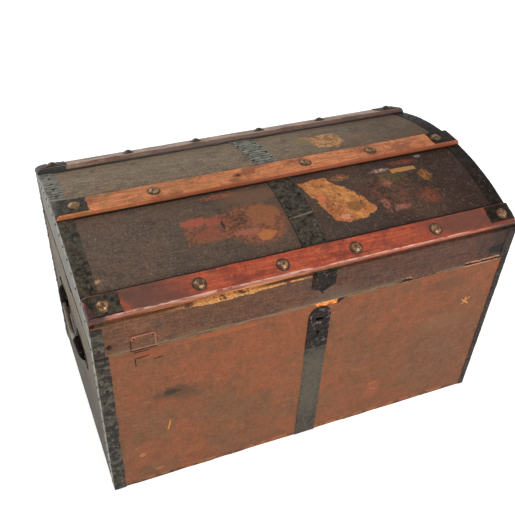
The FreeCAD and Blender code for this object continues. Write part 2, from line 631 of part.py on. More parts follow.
def cap_blank(x_sign, corner_cut):
    """Iron strap bent over one end of a slat: a top and an end, within the slat's eased edges."""
    half = SLAT_WIDTH / 2 - SLAT_EDGE_RADIUS
    end = x_sign * (HALF_LENGTH + IRON)
    inner = x_sign * (HALF_LENGTH - CAP_LENGTH)
    bottom = DOME_AXIS_Z + math.sqrt(IRON_RADIUS ** 2 - half ** 2)
    top = DOME_AXIS_Z + CAP_RADIUS
    under = arch(IRON_RADIUS, HALF_DEPTH, -HALF_LENGTH - BOARD, HALF_LENGTH + BOARD)
    strap = long_block(half, bottom, top, IRON).common(box(inner, end, -half, half, bottom, top))
    cap = strap.cut([under, slat_blank()])
    if not corner_cut:
        return cap
    slant = face_of([point(end, -half, top),
                     point(end - x_sign * CAP_CORNER_CUT, -half, top),
                     point(end, half, top)])
    return cap.cut(slant.extrude(UP * (bottom - top)))


def make_slats(nails):
    blank = slat_blank()
    for name, angle in SLAT_TILTS.items():
        parts[name + "_slat"] = tilted(blank, angle)
        for side, x_sign in (("left", -1), ("right", 1)):
            cut_corner = name == "front" and side == "left"
            parts[name + "_slat_" + side + "_cap"] = tilted(cap_blank(x_sign, cut_corner), angle)
        for x in NAIL_POSITIONS[name]:
            capped = abs(x) > HALF_LENGTH - CAP_LENGTH
            seat = on_dome(CAP_RADIUS if capped else SLAT_RADIUS, angle, x)
            nails.drive(NAIL, seat, dome_normal(angle), NAIL_SHANK_RADIUS, NAIL_SHANK_LENGTH)
    lean = SLAT_TILTS["center"]
    hole = on_dome(SLAT_RADIUS, lean, LOST_NAIL_HOLE)
    nails.bore(hole, dome_normal(lean), NAIL_SHANK_RADIUS, NAIL_SHANK_LENGTH)


def build():
    body_tacks = Fasteners()
    lock_rivets = Fasteners()
    cap_nails = Fasteners()
    body_screws = Fasteners()
    lid_screws = Fasteners()
    lid_tacks = Fasteners()
    hasp_rivets = Fasteners()
    slat_nails = Fasteners()

    make_body_boards()
    make_body_canvas()
    make_lid_boards()
    make_lid_canvas()
    make_body_corners(body_tacks)
    make_front_band(body_tacks)
    make_catch_plates()
    make_lock(lock_rivets)
    make_handles(cap_nails)
    make_hinges(body_screws, lid_screws)
    make_edge_bands(lid_tacks)
    make_center_band(lid_tacks)
    make_lid_corners(lid_tacks)
    make_lid_front_iron(lid_tacks, hasp_rivets)
    make_slats(slat_nails)

    body_fasteners = [body_tacks, lock_rivets, cap_nails, body_screws]
    lid_fasteners = [lid_tacks, hasp_rivets, lid_screws, slat_nails]
    moving = ("left_handle", "right_handle", "lock_bolt", "hinge_pins")
    for name, shape in parts.items():
        if name in moving:
            continue
        on_lid = shape.BoundBox.Center.z > HINGE_Z
        parts[name] = pierced(shape, lid_fasteners if on_lid else body_fasteners)

    groups = {"body_tacks": body_tacks, "lock_rivets": lock_rivets, "handle_cap_nails": cap_nails,
              "body_hinge_screws": body_screws, "lid_hinge_screws": lid_screws,
              "lid_tacks": lid_tacks, "hasp_rivets": hasp_rivets, "slat_nails": slat_nails}
    for name, group in groups.items():
        parts[name] = Part.makeCompound(group.solids)


def export():
    os.makedirs("parts", exist_ok=True)
    for name, shape in parts.items():
        shape.exportStep("parts/" + name + ".step")
        print(name, len(shape.Solids), round(shape.Volume), shape.isValid())


build()
export()
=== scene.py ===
import math
import random

import bmesh
import bpy
import numpy as np
from mathutils import Matrix, Vector, noise


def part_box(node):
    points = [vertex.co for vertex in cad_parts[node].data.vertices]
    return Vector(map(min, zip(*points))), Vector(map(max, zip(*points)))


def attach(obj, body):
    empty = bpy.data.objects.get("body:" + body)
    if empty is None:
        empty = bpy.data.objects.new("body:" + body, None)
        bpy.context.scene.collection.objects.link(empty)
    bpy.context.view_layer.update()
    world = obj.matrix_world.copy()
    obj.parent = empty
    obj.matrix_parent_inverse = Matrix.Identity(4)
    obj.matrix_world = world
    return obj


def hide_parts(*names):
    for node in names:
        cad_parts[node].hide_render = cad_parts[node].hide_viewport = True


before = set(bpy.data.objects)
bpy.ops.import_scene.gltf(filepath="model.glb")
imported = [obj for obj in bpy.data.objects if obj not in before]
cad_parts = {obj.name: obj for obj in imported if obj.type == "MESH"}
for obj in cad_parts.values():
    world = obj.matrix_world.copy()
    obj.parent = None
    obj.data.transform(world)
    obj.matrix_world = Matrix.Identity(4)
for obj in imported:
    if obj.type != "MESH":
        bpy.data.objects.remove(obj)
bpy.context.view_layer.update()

# A dome-top steamer trunk: boards under painted canvas, iron bands, hardwood slats, domed nails.
# Metres, in the CAD model's frame. The worn pieces below stand for the plain CAD ones.

# Sizes shared by the pieces, read from the frame where it has them
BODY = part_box("body_canvas")
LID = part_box("lid_top_canvas")
HALF_LENGTH, HALF_DEPTH, BODY_TOP = BODY[1]
LID_BOTTOM = LID[0][2]
DOME_RADIUS = 0.575
AXIS_Z = LID[1][2] - DOME_RADIUS
EAVE_ANGLE = math.asin(HALF_DEPTH / DOME_RADIUS)
EAVE_Z = AXIS_Z + DOME_RADIUS * math.cos(EAVE_ANGLE)
CANVAS = 0.00095
IRON = 0.001
SHEET = 0.0009
THREAD = 0.0014
BAND_WIDTH = 0.0295
BAND_FOLD = 0.026
SLAT_WIDTH = 0.047
SLAT_HEIGHT = 0.0115
SLAT_RADIUS = DOME_RADIUS + SLAT_HEIGHT
SLAT_END_RADIUS = 0.010
CAP_LENGTH = 0.060
CAP_RADIUS = SLAT_RADIUS + IRON
SLAT_TILTS = {"front": math.radians(22.3), "center": math.radians(-0.7), "back": math.radians(-22.85)}
NAIL_STATIONS = {
    "front": (-0.395, -0.228, -0.072, 0.075, 0.246, 0.398),
    "center": (-0.388, -0.239, 0.074, 0.222, 0.380),
    "back": (-0.393, -0.233, -0.083, 0.066, 0.216, 0.392),
}
LOST_NAIL_HOLE = -0.070
KEYHOLE_X = 0.0035

rng = random.Random(7)


# Noise and meshes

def fractal(points, size, seed, octaves=3):
    """Smooth noise, about -1 to 1, at each point; size is that of the largest lumps, in metres."""
    points = np.asarray(points, dtype=float)
    shift = Vector((seed * 7.31, seed * 3.17, seed * 5.93))
    places = points.reshape(-1, 3) / np.asarray(size, dtype=float)
    values = [noise.fractal(Vector(p) + shift, 0.8, 2.0, octaves) for p in places]
    return np.array(values).reshape(points.shape[:-1])


def smooth(low, high, value):
    t = np.clip((value - low) / (high - low), 0.0, 1.0)
    return t * t * (3.0 - 2.0 * t)


def grid(x, y, z):
    """Points from three coordinates of shapes that fit each other."""
    return np.stack(np.broadcast_arrays(x, y, z), axis=-1).astype(float)


def new_object(name, points, faces, shaded_smooth=True):
    mesh = bpy.data.meshes.new(name)
    mesh.from_pydata([tuple(p) for p in points], [], [tuple(int(i) for i in f) for f in faces])
    mesh.update()
    build = bmesh.new()
    build.from_mesh(mesh)
    bmesh.ops.recalc_face_normals(build, faces=build.faces)
    build.to_mesh(mesh)
    build.free()
    if shaded_smooth:
        mesh.shade_smooth()
        mesh.set_sharp_from_angle(angle=math.radians(50))
    piece = bpy.data.objects.new(name, mesh)
    bpy.context.scene.collection.objects.link(piece)
    return piece


def pierce(piece, outline, y0, y1):
    """Cuts an opening with a given (x, z) outline through a piece, from y0 to y1."""
    count = len(outline)
    points = [(x, y, z) for y in (y0, y1) for x, z in outline]
    faces = [tuple(range(count)), tuple(range(2 * count - 1, count - 1, -1))]
    faces += [(i, (i + 1) % count, count + (i + 1) % count, count + i) for i in range(count)]
    cutter = new_object("cutter", points, faces, False)
    cut = piece.modifiers.new("opening", "BOOLEAN")
    cut.object = cutter
    cut.operation = "DIFFERENCE"
    cut.solver = "EXACT"
    seen = piece.evaluated_get(bpy.context.evaluated_depsgraph_get())
    mesh = bpy.data.meshes.new_from_object(seen)
    piece.modifiers.clear()
    piece.data = mesh
    bpy.data.objects.remove(cutter)


def repaint(piece, material):
    piece.data.materials.clear()
    piece.data.materials.append(material)


def add_piece(name, shape, body, replaced, material, openings=()):
    """A visible piece from (points, faces); openings are outlines cut through its front."""
    piece = new_object(name, *shape)
    for outline in openings:
        pierce(piece, outline, -HALF_DEPTH - 0.01, -HALF_DEPTH + 0.004)
    repaint(piece, material)
    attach(piece, body)
    if replaced:
        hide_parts(*replaced)


def tube(rings):
    """Points and faces of a closed solid through a grid of sections."""
    rows, columns = rings.shape[:2]
    index = np.arange(rows * columns).reshape(rows, columns)
    turned = np.roll(index, -1, axis=1)
    faces = [(index[r][c], turned[r][c], turned[r + 1][c], index[r + 1][c])
             for r in range(rows - 1) for c in range(columns)]
    faces += [tuple(index[0]), tuple(index[-1][::-1])]
    return rings.reshape(-1, 3), faces


def shell(outer, inner, wrap=False):
    """Points and faces of a closed sheet between two grids [row][column]; wrap joins its sides."""
    rows, columns = outer.shape[:2]
    index = np.arange(rows * columns).reshape(rows, columns)
    back = index + rows * columns
    if wrap:
        index = np.hstack([index, index[:, :1]])
        back = np.hstack([back, back[:, :1]])
    faces = []

    def strip(a, b):
        for i in range(len(a) - 1):
            faces.append((a[i], a[i + 1], b[i + 1], b[i]))

    for r in range(rows - 1):
        strip(index[r], index[r + 1])
        strip(back[r + 1], back[r])
    strip(back[0], index[0])
    strip(index[-1], back[-1])
    if not wrap:
        strip(index[:, 0], back[:, 0])
        strip(back[:, -1], index[:, -1])
    return np.vstack([outer.reshape(-1, 3), inner.reshape(-1, 3)]), faces


def dented(points, out, lumps, low, high):
    """Points and faces of a sheet over a grid of points, hammered by limited lumps."""
    return shell(points + out * np.clip(lumps, low, high)[..., None], points - out * SHEET)


def merged(*parts):
    """Several (points, faces) as one."""
    points = []
    faces = []
    for part_points, part_faces in parts:
        faces += [tuple(i + len(points) for i in f) for f in part_faces]
        points.extend(part_points)
    return points, faces


def on_dome(radius, angle, x):
    """Point on a cylinder about the dome's axis; the angle leans from straight up to the front."""
    return grid(x, -radius * np.sin(angle), AXIS_Z + radius * np.cos(angle))


def outward(angle):
    """Direction away from the dome's axis."""
    return grid(0, -np.sin(angle), np.cos(angle))


def tilted(points, angle):
    """Points made over the top of the dome, as x, y and height above its axis, leaned forward."""
    x, y, h = np.moveaxis(np.asarray(points, dtype=float), -1, 0)
    c, s = math.cos(angle), math.sin(angle)
    return grid(x, y * c - h * s, AXIS_Z + y * s + h * c)


# Materials

class Value:
    """A number that a material's nodes work out at each point. Arithmetic on it adds nodes."""

    def __init__(self, paint, socket):
        self.paint = paint
        self.socket = socket

    def __add__(self, other):
        return self.paint.math("ADD", self, other)

    def __sub__(self, other):
        return self.paint.math("SUBTRACT", self, other)

    def __rsub__(self, other):
        return self.paint.math("SUBTRACT", other, self)

    def __mul__(self, other):
        return self.paint.math("MULTIPLY", self, other)

    def __abs__(self):
        return self.paint.math("ABSOLUTE", self)

    def __or__(self, other):
        return self.paint.math("MAXIMUM", self, other)

    def __and__(self, other):
        return self.paint.math("MINIMUM", self, other)

    def step(self, low, high):
        """0 below low, 1 above high, smooth between; low above high turns it round."""
        ends = (low, high, 0.0, 1.0) if low < high else (high, low, 1.0, 0.0)
        made = self.paint.node("ShaderNodeMapRange", [self, *ends], interpolation_type="SMOOTHSTEP")
        return Value(self.paint, made.outputs[0])

    def within(self, low, high, soft):
        return self.step(low - soft, low + soft) * self.step(high + soft, high - soft)

    def ragged(self, ragged, grain, soft, seed):
        """1 where a distance is below zero, 0 above, with an edge that wanders."""
        edge = (self.paint.noise(grain, seed, 5) - 0.5) * (ragged * 4) + self
        return edge.step(soft, -soft)


def linear(color):
    """Linear colour from a tuple of screen values of 0 to 255; a socket stays as it is."""
    if not isinstance(color, tuple):
        return color
    return tuple(v / 12.92 if v <= 0.04045 else ((v + 0.055) / 1.055) ** 2.4 for v in np.divide(color, 255))


class Paint:
    """One procedural material. Its methods add nodes; color is what its coats have come to."""

    def __init__(self, name):
        self.material = bpy.data.materials.new(name)
        self.material.use_nodes = True
        self.tree = self.material.node_tree
        self.bsdf = self.tree.nodes["Principled BSDF"]
        coordinates = self.node("ShaderNodeTexCoord")
        self.here = coordinates.outputs["Object"]
        self.x, self.y, self.z = self.axes(self.here)
        self.facing_x, self.facing_y, self.facing_z = self.axes(coordinates.outputs["Normal"])
        self.color = None
        self.relief = None

    def node(self, kind, inputs=(), **settings):
        """A new node; inputs are in the node's order, or a dict by name or number."""
        made = self.tree.nodes.new(kind)
        for key, value in settings.items():
            setattr(made, key, value)
        for key, value in inputs.items() if isinstance(inputs, dict) else enumerate(inputs):
            self.put(value, made.inputs[key])
        return made

    def put(self, value, socket):
        if isinstance(value, Value):
            value = value.socket
        if isinstance(value, bpy.types.NodeSocket):
            self.tree.links.new(value, socket)
        elif isinstance(value, tuple) and socket.type == "RGBA":
            socket.default_value = (*value, 1.0)
        else:
            socket.default_value = value

    def axes(self, vector):
        return [Value(self, out) for out in self.node("ShaderNodeSeparateXYZ", [vector]).outputs]

    def math(self, operation, *numbers):
        return Value(self, self.node("ShaderNodeMath", numbers, operation=operation).outputs[0])

    def noise(self, size, seed, detail=4, rough=0.6, stretch=(1, 1, 1)):
        """Noise from 0 to 1, with lumps of a size in metres, drawn out along the stretched axes."""
        scale = tuple(1.0 / (size * s) for s in stretch)
        shift = (seed * 1.7, seed * 0.9, seed * 2.3)
        place = self.node("ShaderNodeMapping", [self.here, shift, (0.0, 0.0, 0.0), scale]).outputs[0]
        inputs = {"Vector": place, "Scale": 1.0, "Detail": detail, "Roughness": rough}
        return Value(self, self.node("ShaderNodeTexNoise", inputs).outputs["Fac"])

    def mix(self, share, a, b):
        """A blend of two colours, given as sockets or as screen values."""
        inputs = {0: share, 6: linear(a), 7: linear(b)}
        return self.node("ShaderNodeMix", inputs, data_type="RGBA").outputs[2]

    def times(self, color, factor):
        inputs = {0: 1.0, 6: color, 7: factor}
        return self.node("ShaderNodeMix", inputs, data_type="RGBA", blend_type="MULTIPLY").outputs[2]

    def coat(self, tone, *masks):
        """Lays a colour over the others where the product of the masks is high."""
        self.color = self.mix(math.prod(masks[1:], start=masks[0]), self.color, tone)

    def shade(self, color, value, low, high, dark, light):
        """The colour darkened where the value is low and lightened where it is high."""
        grey = self.node("ShaderNodeMapRange", [value, low, high, dark, light]).outputs[0]
        return self.times(color, self.node("ShaderNodeCombineColor", [grey, grey, grey]).outputs[0])

    def grade(self, value, low, high, dark, light):
        self.color = self.shade(self.color, value, low, high, dark, light)

    def blob(self, u, v, center, size, seed, ragged=0.25, grain=0.02, soft=0.2):
        """1 inside an oval; size is its width and height."""
        across = (u - center[0]) * (2.0 / size[0])
        along = (v - center[1]) * (2.0 / size[1])
        return (self.far(across, along) - 1.0).ragged(ragged, grain, soft, seed)

    def far(self, across, along):
        return self.math("SQRT", across * across + along * along)

    def slat_across(self, name):
        """Distance from the middle line of a slat, to its back."""
        tilt = SLAT_TILTS[name]
        return self.y * math.cos(tilt) + (self.z - AXIS_Z) * math.sin(tilt)

    def nail_reach(self, name):
        """Distance from the nearest nail of a slat."""
        gaps = [abs(self.x - station) for station in NAIL_STATIONS[name]]
        along = gaps[0]
        for gap in gaps[1:]:
            along = along & gap
        return self.far(self.slat_across(name), along)

    def bump(self, height, distance, strength=1.0):
        """Adds relief: a height from 0 to 1, worth a distance in metres."""
        inputs = {"Strength": strength, "Distance": distance, "Height": height}
        if self.relief is not None:
            inputs["Normal"] = self.relief
        self.relief = self.node("ShaderNodeBump", inputs).outputs[0]

    def weave(self, u, v):
        """Height of a plain weave, 0 to 1."""
        rate = 2 * math.pi / THREAD
        return self.math("SINE", u * rate) * self.math("SINE", v * rate) * 0.5 + 0.5

    def done(self, roughness, metallic=0.0, specular=0.5, tone=(1.0, 1.0, 1.0)):
        self.put(self.times(self.color, tone), self.bsdf.inputs["Base Color"])
        self.put(roughness, self.bsdf.inputs["Roughness"])
        self.put(metallic, self.bsdf.inputs["Metallic"])
        self.put(specular, self.bsdf.inputs["Specular IOR Level"])
        if self.relief is not None:
            self.put(self.relief, self.bsdf.inputs["Normal"])
        return self.material


def patch(u, v, corners, seed, ragged=0.005, grain=0.02, soft=0.0015):
    """1 inside a convex outline of (u, v) corners, listed clockwise."""
    outside = None
    for (u0, v0), (u1, v1) in zip(corners, corners[1:] + corners[:1]):
        length = math.hypot(u1 - u0, v1 - v0)
        nu, nv = -(v1 - v0) / length, (u1 - u0) / length
        distance = u * nu + v * nv - (u0 * nu + v0 * nv)
        outside = distance if outside is None else outside | distance
    return outside.ragged(ragged, grain, soft, seed)


def scratch(u, v, start, end, width, seed):
    """1 along a thin straight mark between two (u, v) points."""
    length = math.hypot(end[0] - start[0], end[1] - start[1])
    du, dv = (end[0] - start[0]) / length, (end[1] - start[1]) / length
    along = (u - start[0]) * du + (v - start[1]) * dv
    across = (v - start[1]) * du - (u - start[0]) * dv
    line = (abs(across) - width / 2).ragged(0.0006, 0.008, 0.0005, seed)
    return line * along.within(0.0, length, 0.001)


def box_corners(u0, u1, v0, v1):
    return [(u0, v1), (u1, v1), (u1, v0), (u0, v0)]


def cloth(p, seed, contrast):
    """Painted canvas: speckles and long threads in the colour, weave and grit in the relief."""
    x, y, z = p.x, p.y, p.z
    fine = p.noise(0.0035, seed, 3, 0.7)
    speck = p.noise(0.009, seed + 1, 4, 0.7)
    along = p.noise(0.0025, seed + 2, 3, 0.6, stretch=(9, 1, 1))
    down = p.noise(0.0025, seed + 3, 3, 0.6, stretch=(1, 6, 6))
    for grain, share in ((fine, 1.3), (speck, 0.6), (along, 0.7), (down, 0.5)):
        p.grade(grain, 0.3, 0.7, 1 - share * contrast, 1 + share * contrast)
    p.bump(p.weave(x + y, z + y), 0.00012, 0.5)
    p.bump(fine, 0.0004, 0.6)
    p.bump(speck, 0.0008, 0.5)
    p.bump(along, 0.0003, 0.5)


def body_canvas_paint():
    """Reddish-brown painted canvas, stained, scuffed pale on the high threads."""
    p = Paint("body_canvas")
    x, y, z = p.x, p.y, p.z
    large = p.noise(0.16, 1)
    middle = p.noise(0.035, 2)
    streak = p.noise(0.018, 4, 5, 0.7, stretch=(0.6, 0.6, 1.8))
    p.color = p.mix(large.step(0.42, 0.58), (150, 94, 66), (134, 92, 68))
    p.coat((112, 74, 54), x.step(0, 0.25), 0.22)
    olive = p.noise(0.09, 5).step(0.46, 0.58) * z.step(0.34, 0.12)
    p.coat((122, 96, 72), olive, 0.45)
    p.coat((118, 84, 62), middle.step(0.48, 0.66), 0.45)
    red = streak.step(0.48, 0.62) * z.step(0.1, 0.3)
    p.coat((166, 94, 66), red, 0.4)
    rubs = p.noise(0.012, 6, 5, 0.7, stretch=(2.5, 1, 1)).step(0.56, 0.66)
    p.coat((172, 112, 82), rubs, 0.4)
    cloth(p, 300, 0.17)

    front = y.step(-HALF_DEPTH + 0.004, -HALF_DEPTH + 0.002)
    marks = [
        ((-0.287, 0.256), (0.085, 0.03), (84, 70, 56), 0.65),
        ((-0.255, 0.236), (0.05, 0.022), (92, 74, 58), 0.45),
        ((-0.292, 0.258), (0.03, 0.014), (54, 50, 46), 0.75),
        ((0.163, 0.085), (0.035, 0.045), (170, 100, 72), 0.4),
        ((0.31, 0.245), (0.12, 0.05), (140, 108, 80), 0.35),
        ((0.29, 0.355), (0.1, 0.03), (100, 78, 60), 0.5),
        ((0.2, 0.375), (0.05, 0.02), (112, 88, 68), 0.5),
        ((-0.33, 0.375), (0.07, 0.02), (164, 92, 64), 0.6),
        ((-0.2, 0.382), (0.16, 0.012), (178, 104, 68), 0.6),
        ((-0.36, 0.09), (0.012, 0.01), (196, 132, 84), 0.8),
        ((-0.33, 0.03), (0.02, 0.008), (196, 132, 84), 0.6),
    ]
    for i, (center, size, tone, share) in enumerate(marks):
        mark = p.blob(x, z, center, size, 11 + i, ragged=0.5, grain=0.012, soft=0.35)
        p.coat(tone, mark, front, share)

    orange = (222, 146, 80)
    cuts = [
        ((-0.305, 0.15), (-0.299, 0.176), 0.0032, orange),
        ((0.344, 0.283), (0.362, 0.3), 0.003, orange),
        ((0.343, 0.296), (0.362, 0.281), 0.0026, (232, 170, 120)),
        ((0.352, 0.302), (0.351, 0.288), 0.003, orange),
        ((0.15, 0.101), (0.17, 0.105), 0.0026, (206, 122, 86)),
        ((0.156, 0.086), (0.172, 0.08), 0.0022, (206, 122, 86)),
        ((-0.355, 0.352), (-0.356, 0.372), 0.002, (40, 24, 20)),
        ((-0.355, 0.371), (-0.33, 0.373), 0.002, (40, 24, 20)),
        ((-0.322, 0.36), (-0.305, 0.362), 0.002, (70, 42, 32)),
    ]
    for i, (start, end, width, tone) in enumerate(cuts):
        p.coat(tone, scratch(x, z, start, end, width, 31 + i), front)

    seam = z.step(BODY_TOP - 0.0035, BODY_TOP - 0.001) * middle.step(0.3, 0.5)
    dashes = p.noise(0.015, 7, 4, 0.7, stretch=(2, 1, 1)).step(0.42, 0.52)
    p.coat((160, 132, 98), seam, dashes, 0.8)
    lip = seam * front * x.within(0.322, 0.402, 0.004)
    p.coat((214, 160, 130), lip)
    hem = z.step(0.013, 0.004) * p.noise(0.03, 8).step(0.42, 0.55)
    p.coat((58, 44, 34), hem, 0.85)
    hem_wear = z.within(0.004, 0.012, 0.003) * p.noise(0.025, 9).step(0.46, 0.56) * front
    p.coat((186, 124, 78), hem_wear, 0.7)
    slit = (abs(z - 0.3865) - 0.0012).ragged(0.0006, 0.01, 0.0004, 30) * x.within(-0.357, -0.328, 0.002)
    p.coat((26, 18, 14), slit, front)

    ends = abs(p.facing_x).step(0.5, 0.9)
    # grey dust and painted sheen on the end faces, darker towards the bottom
    dust_and_sheen = p.mix(middle.step(0.34, 0.66), (86, 82, 68), (136, 130, 110))
    dust_and_sheen = p.mix(z.step(0.38, 0.14), dust_and_sheen, (62, 58, 40))
    dust_and_sheen = p.shade(dust_and_sheen, p.noise(0.012, 10, 5, 0.7), 0.35, 0.65, 0.7, 1.25)
    p.coat(dust_and_sheen, ends, 0.88)
    # painted shadow: the seam between lid and body drawn black along the top of the end faces and on the
    # rim's top face there
    p.coat((12, 9, 8), ends, z.step(BODY_TOP - 0.0045, BODY_TOP - 0.003))
    seam_shadow_top = p.facing_z.step(0.5, 0.9) * abs(x).step(0.42, 0.423)
    p.coat((8, 6, 6), seam_shadow_top)
    return p.done(middle * 0.25 + 0.42, specular=0.12, tone=(0.72, 0.65, 0.56))


def lid_canvas_paint():
    """Dark grey-brown painted canvas with the ghosts and scraps of old paper labels."""
    p = Paint("lid_canvas")
    x, y, z = p.x, p.y, p.z
    large = p.noise(0.14, 21)
    middle = p.noise(0.03, 22)
    ledge = y.step(-0.2375, -0.2395)
    vertical = z.step(EAVE_Z + 0.001, EAVE_Z - 0.001) | ledge
    top = 1 - vertical
    back = y.step(0.01, 0.03)
    fore = vertical * y.step(0, -0.1)

    # painted sheen: the dome's front half fades from paler and greyer at the left to darker at the right
    front_tone = p.mix(x.step(-0.42, 0.4), (100, 84, 72), (59, 41, 34))
    front_tone = p.mix(large.step(0.45, 0.6) * x.step(0.38, 0.2) * 0.45, front_tone, (108, 82, 66))
    front_tone = p.mix(large.step(0.48, 0.38) * 0.4, front_tone, (76, 66, 60))
    # painted sheen: the back half paler and olive-grey, also fading towards the right
    back_sheen_tone = p.mix(x.step(0, 0.4), (131, 113, 92), (103, 84, 66))
    side_tone = p.mix(large.step(0.42, 0.58), (92, 60, 42), (106, 68, 46))
    side_tone = p.mix(x.step(-0.25, 0.15), side_tone, (80, 50, 37))
    p.color = p.mix(back, front_tone, back_sheen_tone)
    p.coat(side_tone, vertical)
    p.coat((72, 62, 54), middle.step(0.52, 0.68), 0.4)
    cloth(p, 320, 0.26)
    streaks = p.noise(0.004, 26, 4, 0.7, stretch=(9, 1, 1))
    streaky = p.shade(p.color, streaks, 0.34, 0.66, 0.72, 1.26)
    p.coat(streaky, back | vertical)
    flecks = p.noise(0.006, 25, 3, 0.7).step(0.62, 0.68)
    p.coat((160, 134, 112), flecks, vertical * -0.3 + 0.5)
    for seed, stretch in ((27, (9, 1, 1)), (28, (1, 8, 8))):
        scratches = p.noise(0.0022, seed, 3, 0.6, stretch=stretch).step(0.63, 0.7)
        p.coat((158, 132, 112), scratches, vertical * -0.18 + 0.35)
    specks = p.noise(0.007, 29, 4, 0.7).step(0.62, 0.68) * back
    p.coat((150, 84, 60), specks, 0.45)

    # lays a mark on the top: the stains below, and the painted shadow lines along the slats and the band
    def stain_and_shade(mask, tone, share):
        p.coat(tone, mask, top, share)

    mottle = p.noise(0.007, 32, 5, 0.75).step(0.4, 0.6)
    ghost_tone = p.mix(mottle, (106, 68, 50), (156, 98, 70))
    square = patch(x, y, box_corners(-0.217, -0.115, -0.139, -0.079), 31, 0.002, 0.03, 0.003)
    stain_and_shade(square, ghost_tone, 0.75)
    ghosts = [
        ((-0.082, -0.116), (0.118, 0.098), 33, 0.12, 0.04, ghost_tone, 0.85),
        ((-0.192, -0.088), (0.045, 0.022), 34, 0.5, 0.01, (176, 92, 72), 0.7),
        ((-0.15, -0.094), (0.045, 0.016), 35, 0.5, 0.01, (172, 86, 70), 0.6),
        ((-0.175, -0.122), (0.05, 0.03), 36, 0.5, 0.01, (150, 82, 62), 0.6),
        ((-0.072, -0.148), (0.035, 0.022), 37, 0.4, 0.015, (190, 116, 66), 0.8),
        ((-0.102, -0.134), (0.05, 0.014), 38, 0.5, 0.008, (178, 102, 84), 0.6),
        ((-0.06, -0.1), (0.06, 0.05), 39, 0.3, 0.02, (158, 98, 62), 0.6),
    ]
    for center, size, seed, ragged, grain, tone, share in ghosts:
        stain_and_shade(p.blob(x, y, center, size, seed, ragged, grain), tone, share)
    scribble = p.blob(x, y, (-0.118, -0.1), (0.055, 0.042), 40, 0.6, 0.006)
    stain_and_shade(scribble * p.noise(0.005, 41, 4, 0.7).step(0.45, 0.55), (70, 52, 40), 0.75)
    stain_and_shade(p.blob(x, y, (-0.143, -0.108), (0.006, 0.022), 42, 0.3, 0.008), (48, 38, 30), 0.8)

    label = patch(x, y, [(0.034, -0.04), (0.092, -0.04), (0.124, -0.08), (0.164, -0.14), (0.15, -0.152),
                           (0.095, -0.16), (0.068, -0.15)], 43, 0.008, 0.022, 0.002)
    label = label * p.noise(0.01, 56, 5, 0.75).step(0.64, 0.6)
    paper = p.mix(p.noise(0.014, 44, 5, 0.7).step(0.42, 0.62), (202, 124, 68), (224, 156, 94))
    speckled = p.noise(0.0045, 45, 4, 0.75).step(0.46, 0.54)
    stain_and_shade(label, paper, 0.9)
    stain_and_shade(label * speckled * p.noise(0.02, 55).step(0.44, 0.58), (120, 74, 46), 0.6)
    red_part = p.blob(x, y, (0.078, -0.128), (0.05, 0.06), 57, 0.5, 0.02, 0.5)
    stain_and_shade(label * red_part * p.noise(0.007, 58, 4, 0.7).step(0.44, 0.56), (176, 92, 58), 0.7)
    core = p.blob(x, y, (0.078, -0.112), (0.036, 0.062), 46, 0.35, 0.012, 0.3)
    stain_and_shade(label * core * speckled, (120, 82, 54), 0.8)
    stain_and_shade(label * p.blob(x, y, (0.122, -0.126), (0.04, 0.024), 47, 0.3, 0.01), (132, 90, 50), 0.8)
    stain_and_shade(label * p.blob(x, y, (0.066, -0.09), (0.014, 0.03), 48, 0.5, 0.01), (214, 112, 80), 0.7)
    stain_and_shade(label * p.blob(x, y, (0.092, -0.146), (0.022, 0.012), 49, 0.5, 0.01), (226, 150, 120), 0.6)

    stain_and_shade(p.blob(x, y, (-0.065, -0.048), (0.13, 0.04), 90, 0.5, 0.02, 0.5), (122, 90, 70), 0.7)
    haze = p.blob(x, y, (0.2, -0.11), (0.1, 0.09), 50, 0.5, 0.03, 0.4)
    stain_and_shade(haze * p.noise(0.01, 51).step(0.44, 0.58), (128, 74, 58), 0.55)
    spots = [
        ((0.124, -0.047), (0.034, 0.016), (184, 122, 80), 0.75),
        ((0.214, -0.048), (0.044, 0.01), (206, 164, 146), 0.85),
        ((0.212, -0.087), (0.018, 0.02), (184, 120, 92), 0.7),
        ((0.184, -0.136), (0.016, 0.026), (178, 112, 96), 0.7),
        ((0.211, -0.151), (0.03, 0.012), (184, 112, 96), 0.75),
        ((0.23, -0.07), (0.06, 0.03), (112, 104, 62), 0.45),
        ((0.301, -0.085), (0.026, 0.03), (170, 112, 62), 0.8),
        ((0.282, -0.139), (0.042, 0.036), (152, 78, 52), 0.65),
        ((0.276, -0.036), (0.05, 0.014), (150, 74, 56), 0.7),
        ((0.315, -0.026), (0.014, 0.008), (176, 160, 146), 0.8),
        ((-0.124, -0.031), (0.064, 0.014), (170, 96, 64), 0.85),
        ((-0.398, -0.168), (0.026, 0.007), (206, 158, 118), 0.9),
        ((-0.31, 0.06), (0.022, 0.008), (176, 124, 80), 0.7),
        ((0.24, 0.1), (0.05, 0.03), (140, 104, 84), 0.5),
    ]
    broken = p.noise(0.005, 59, 4, 0.75).step(0.4, 0.54)
    for i, (center, size, tone, share) in enumerate(spots):
        stain_and_shade(p.blob(x, y, center, size, 60 + i, 0.5, 0.01, 0.5) * broken, tone, share)
    stain_and_shade(patch(x, y, box_corners(0.236, 0.292, -0.064, -0.052), 74, 0.002, 0.02), (190, 134, 80), 0.9)
    tan = patch(x, y, [(0.124, 0.14), (0.2, 0.138), (0.208, 0.09), (0.18, 0.064), (0.136, 0.072)], 75,
                  0.006, 0.02)
    stain_and_shade(tan, p.mix(p.noise(0.012, 76).step(0.42, 0.6), (150, 108, 68), (208, 152, 98)), 0.9)
    stain_and_shade(p.blob(x, y, (0.118, 0.118), (0.05, 0.04), 77, 0.3), (132, 116, 74), 0.7)
    stain_and_shade(tan * p.noise(0.006, 78).step(0.56, 0.62), (104, 76, 50), 0.8)

    def slat_side(name, side):
        tilt = SLAT_TILTS[name]
        return -math.sin(tilt) * DOME_RADIUS + side * SLAT_WIDTH / 2 * math.cos(tilt)
